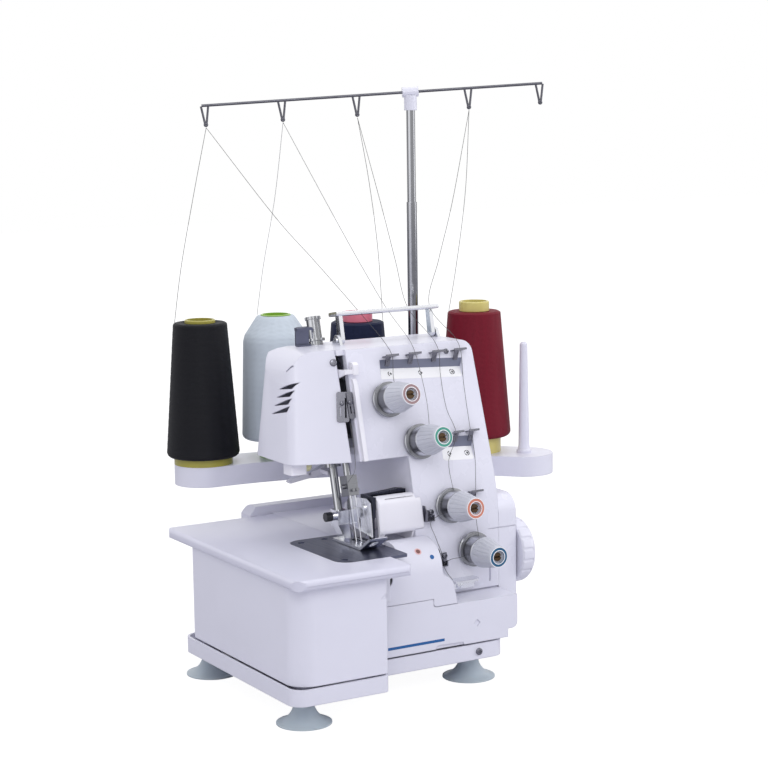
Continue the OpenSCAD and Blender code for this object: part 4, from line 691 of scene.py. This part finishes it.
# Dark catch in the finger slot beside the table: a crescent
outer_arc = [(6.3 * cos(radians(a)), 6.3 * sin(radians(a))) for a in range(-68, 21, 8)]
inner_arc = [(3.7 * cos(radians(a)), 3.7 * sin(radians(a))) for a in range(18, -71, -8)]
catch = slab("catch_button", (m(94, 12.9, 113), RIGHT, UPWARD, FORWARD), outer_arc + inner_arc, 0.0, 0.3, black.mat)
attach(catch, "machine")

recess_shade = plastic("recess_shade", srgb(122, 126, 146), 0.4, 0.0003, 0.05)


def in_recess(x, y, z, nrm):
    """Whether a face of the panel is on the upper, shaded side of a label's recess."""
    for x0, x1, top, h in RECESS:
        if x0 - 1 < x < x1 + 1 and top - 0.5 * h - 5 < z < top + 4 and y > face_y(z) + 0.12:
            return nrm.z < -0.15
    return False


painted("front_panel", recess_shade.mat, in_recess)

# ---------------------------------------------------------------- stage
FLOOR_HALF = 6.0
FLOOR_DROP = -0.0002  # keeps the floor clear of the feet's faces
# The camera sees the floor nearly white, with a soft shadow; other rays see it as grey
floor_mat = Mat("floor", (0.9, 0.9, 0.9), 0.9)
seen = floor_mat.n("ShaderNodeLightPath").outputs["Is Camera Ray"]
glow = floor_mat.n("ShaderNodeEmission")
glow.inputs["Color"].default_value = (1, 1, 1, 1)
glow.inputs["Strength"].default_value = 0.94
shadowed = floor_mat.n("ShaderNodeBsdfDiffuse")
shadowed.inputs["Color"].default_value = (0.2, 0.2, 0.2, 1)
add = floor_mat.n("ShaderNodeAddShader")
floor_mat.link(glow.outputs[0], add.inputs[0])
floor_mat.link(shadowed.outputs[0], add.inputs[1])
grey = floor_mat.n("ShaderNodeBsdfDiffuse")
grey.inputs["Color"].default_value = (0.62, 0.62, 0.66, 1)
choice = floor_mat.n("ShaderNodeMixShader")
floor_mat.link(seen, choice.inputs[0])
floor_mat.link(grey.outputs[0], choice.inputs[1])
floor_mat.link(add.outputs[0], choice.inputs[2])
floor_mat.link(choice.outputs[0], floor_mat.nt.nodes["Material Output"].inputs["Surface"])
floor_mesh = bpy.data.meshes.new("floor")
floor_mesh.from_pydata([(-FLOOR_HALF, -FLOOR_HALF, 0), (FLOOR_HALF, -FLOOR_HALF, 0), (FLOOR_HALF, FLOOR_HALF, 0),
                        (-FLOOR_HALF, FLOOR_HALF, 0)], [], [(0, 1, 2, 3)])
floor = bpy.data.objects.new("floor", floor_mesh)
floor.data.materials.append(floor_mat.mat)
bpy.context.scene.collection.objects.link(floor)
floor.location.z = FLOOR_DROP

# Brightness of the studio from the ground up; camera, glossy and transmission rays see white
SKY = [(0.0, (0.4, 0.4, 0.44)), (0.5, (0.56, 0.56, 0.6)), (0.7, (0.7, 0.7, 0.74)), (1.0, (0.84, 0.84, 0.88))]
world = bpy.data.worlds.new("studio")
bpy.context.scene.world = world
world.use_nodes = True
tree = world.node_tree


def world_node(kind, **props):
    node = tree.nodes.new(kind)
    for k, v in props.items():
        setattr(node, k, v)
    return node


place = world_node("ShaderNodeSeparateXYZ")
tree.links.new(world_node("ShaderNodeTexCoord").outputs["Generated"], place.inputs[0])
height = world_node("ShaderNodeMapRange")
height.inputs["From Min"].default_value = -1.0
height.inputs["From Max"].default_value = 1.0
tree.links.new(place.outputs["Z"], height.inputs["Value"])
sky = world_node("ShaderNodeValToRGB")
stops = sky.color_ramp.elements
stops[0].position, stops[0].color = SKY[0][0], (*SKY[0][1], 1)
stops[1].position, stops[1].color = SKY[-1][0], (*SKY[-1][1], 1)
for p, c in SKY[1:-1]:
    stops.new(p).color = (*c, 1)
tree.links.new(height.outputs["Result"], sky.inputs["Fac"])
rays = world_node("ShaderNodeLightPath")
seen = rays.outputs["Is Camera Ray"]
for ray in ("Is Glossy Ray", "Is Transmission Ray"):
    either = world_node("ShaderNodeMath", operation="MAXIMUM")
    tree.links.new(seen, either.inputs[0])
    tree.links.new(rays.outputs[ray], either.inputs[1])
    seen = either.outputs[0]
shown = world_node("ShaderNodeMix", data_type="RGBA")
tree.links.new(seen, shown.inputs[0])
tree.links.new(sky.outputs["Color"], shown.inputs[6])
shown.inputs[7].default_value = (1, 1, 1, 1)
tree.links.new(shown.outputs[2], tree.nodes["Background"].inputs["Color"])
tree.nodes["Background"].inputs["Strength"].default_value = 1.0


LIGHTS_AIM = (0, 0, 0.2)


def area(name, where, size, power):
    """A rectangular light of size metres and power watts, aimed at the machine."""
    light = bpy.data.lights.new(name, "AREA")
    light.shape = "RECTANGLE"
    light.size, light.size_y = size
    light.energy = power
    ob = bpy.data.objects.new(name, light)
    ob.location = where
    ob.rotation_euler = (Vector(LIGHTS_AIM) - Vector(where)).to_track_quat("-Z", "Y").to_euler()
    bpy.context.scene.collection.objects.link(ob)


area("key", (-0.9, -1.8, 1.6), (1.2, 1.2), 13)
area("fill", (1.7, -1.0, 0.9), (1.0, 1.4), 9)
area("top", (0.2, 0.4, 2.2), (1.6, 1.2), 8)

bpy.context.scene.view_settings.view_transform = "Standard"
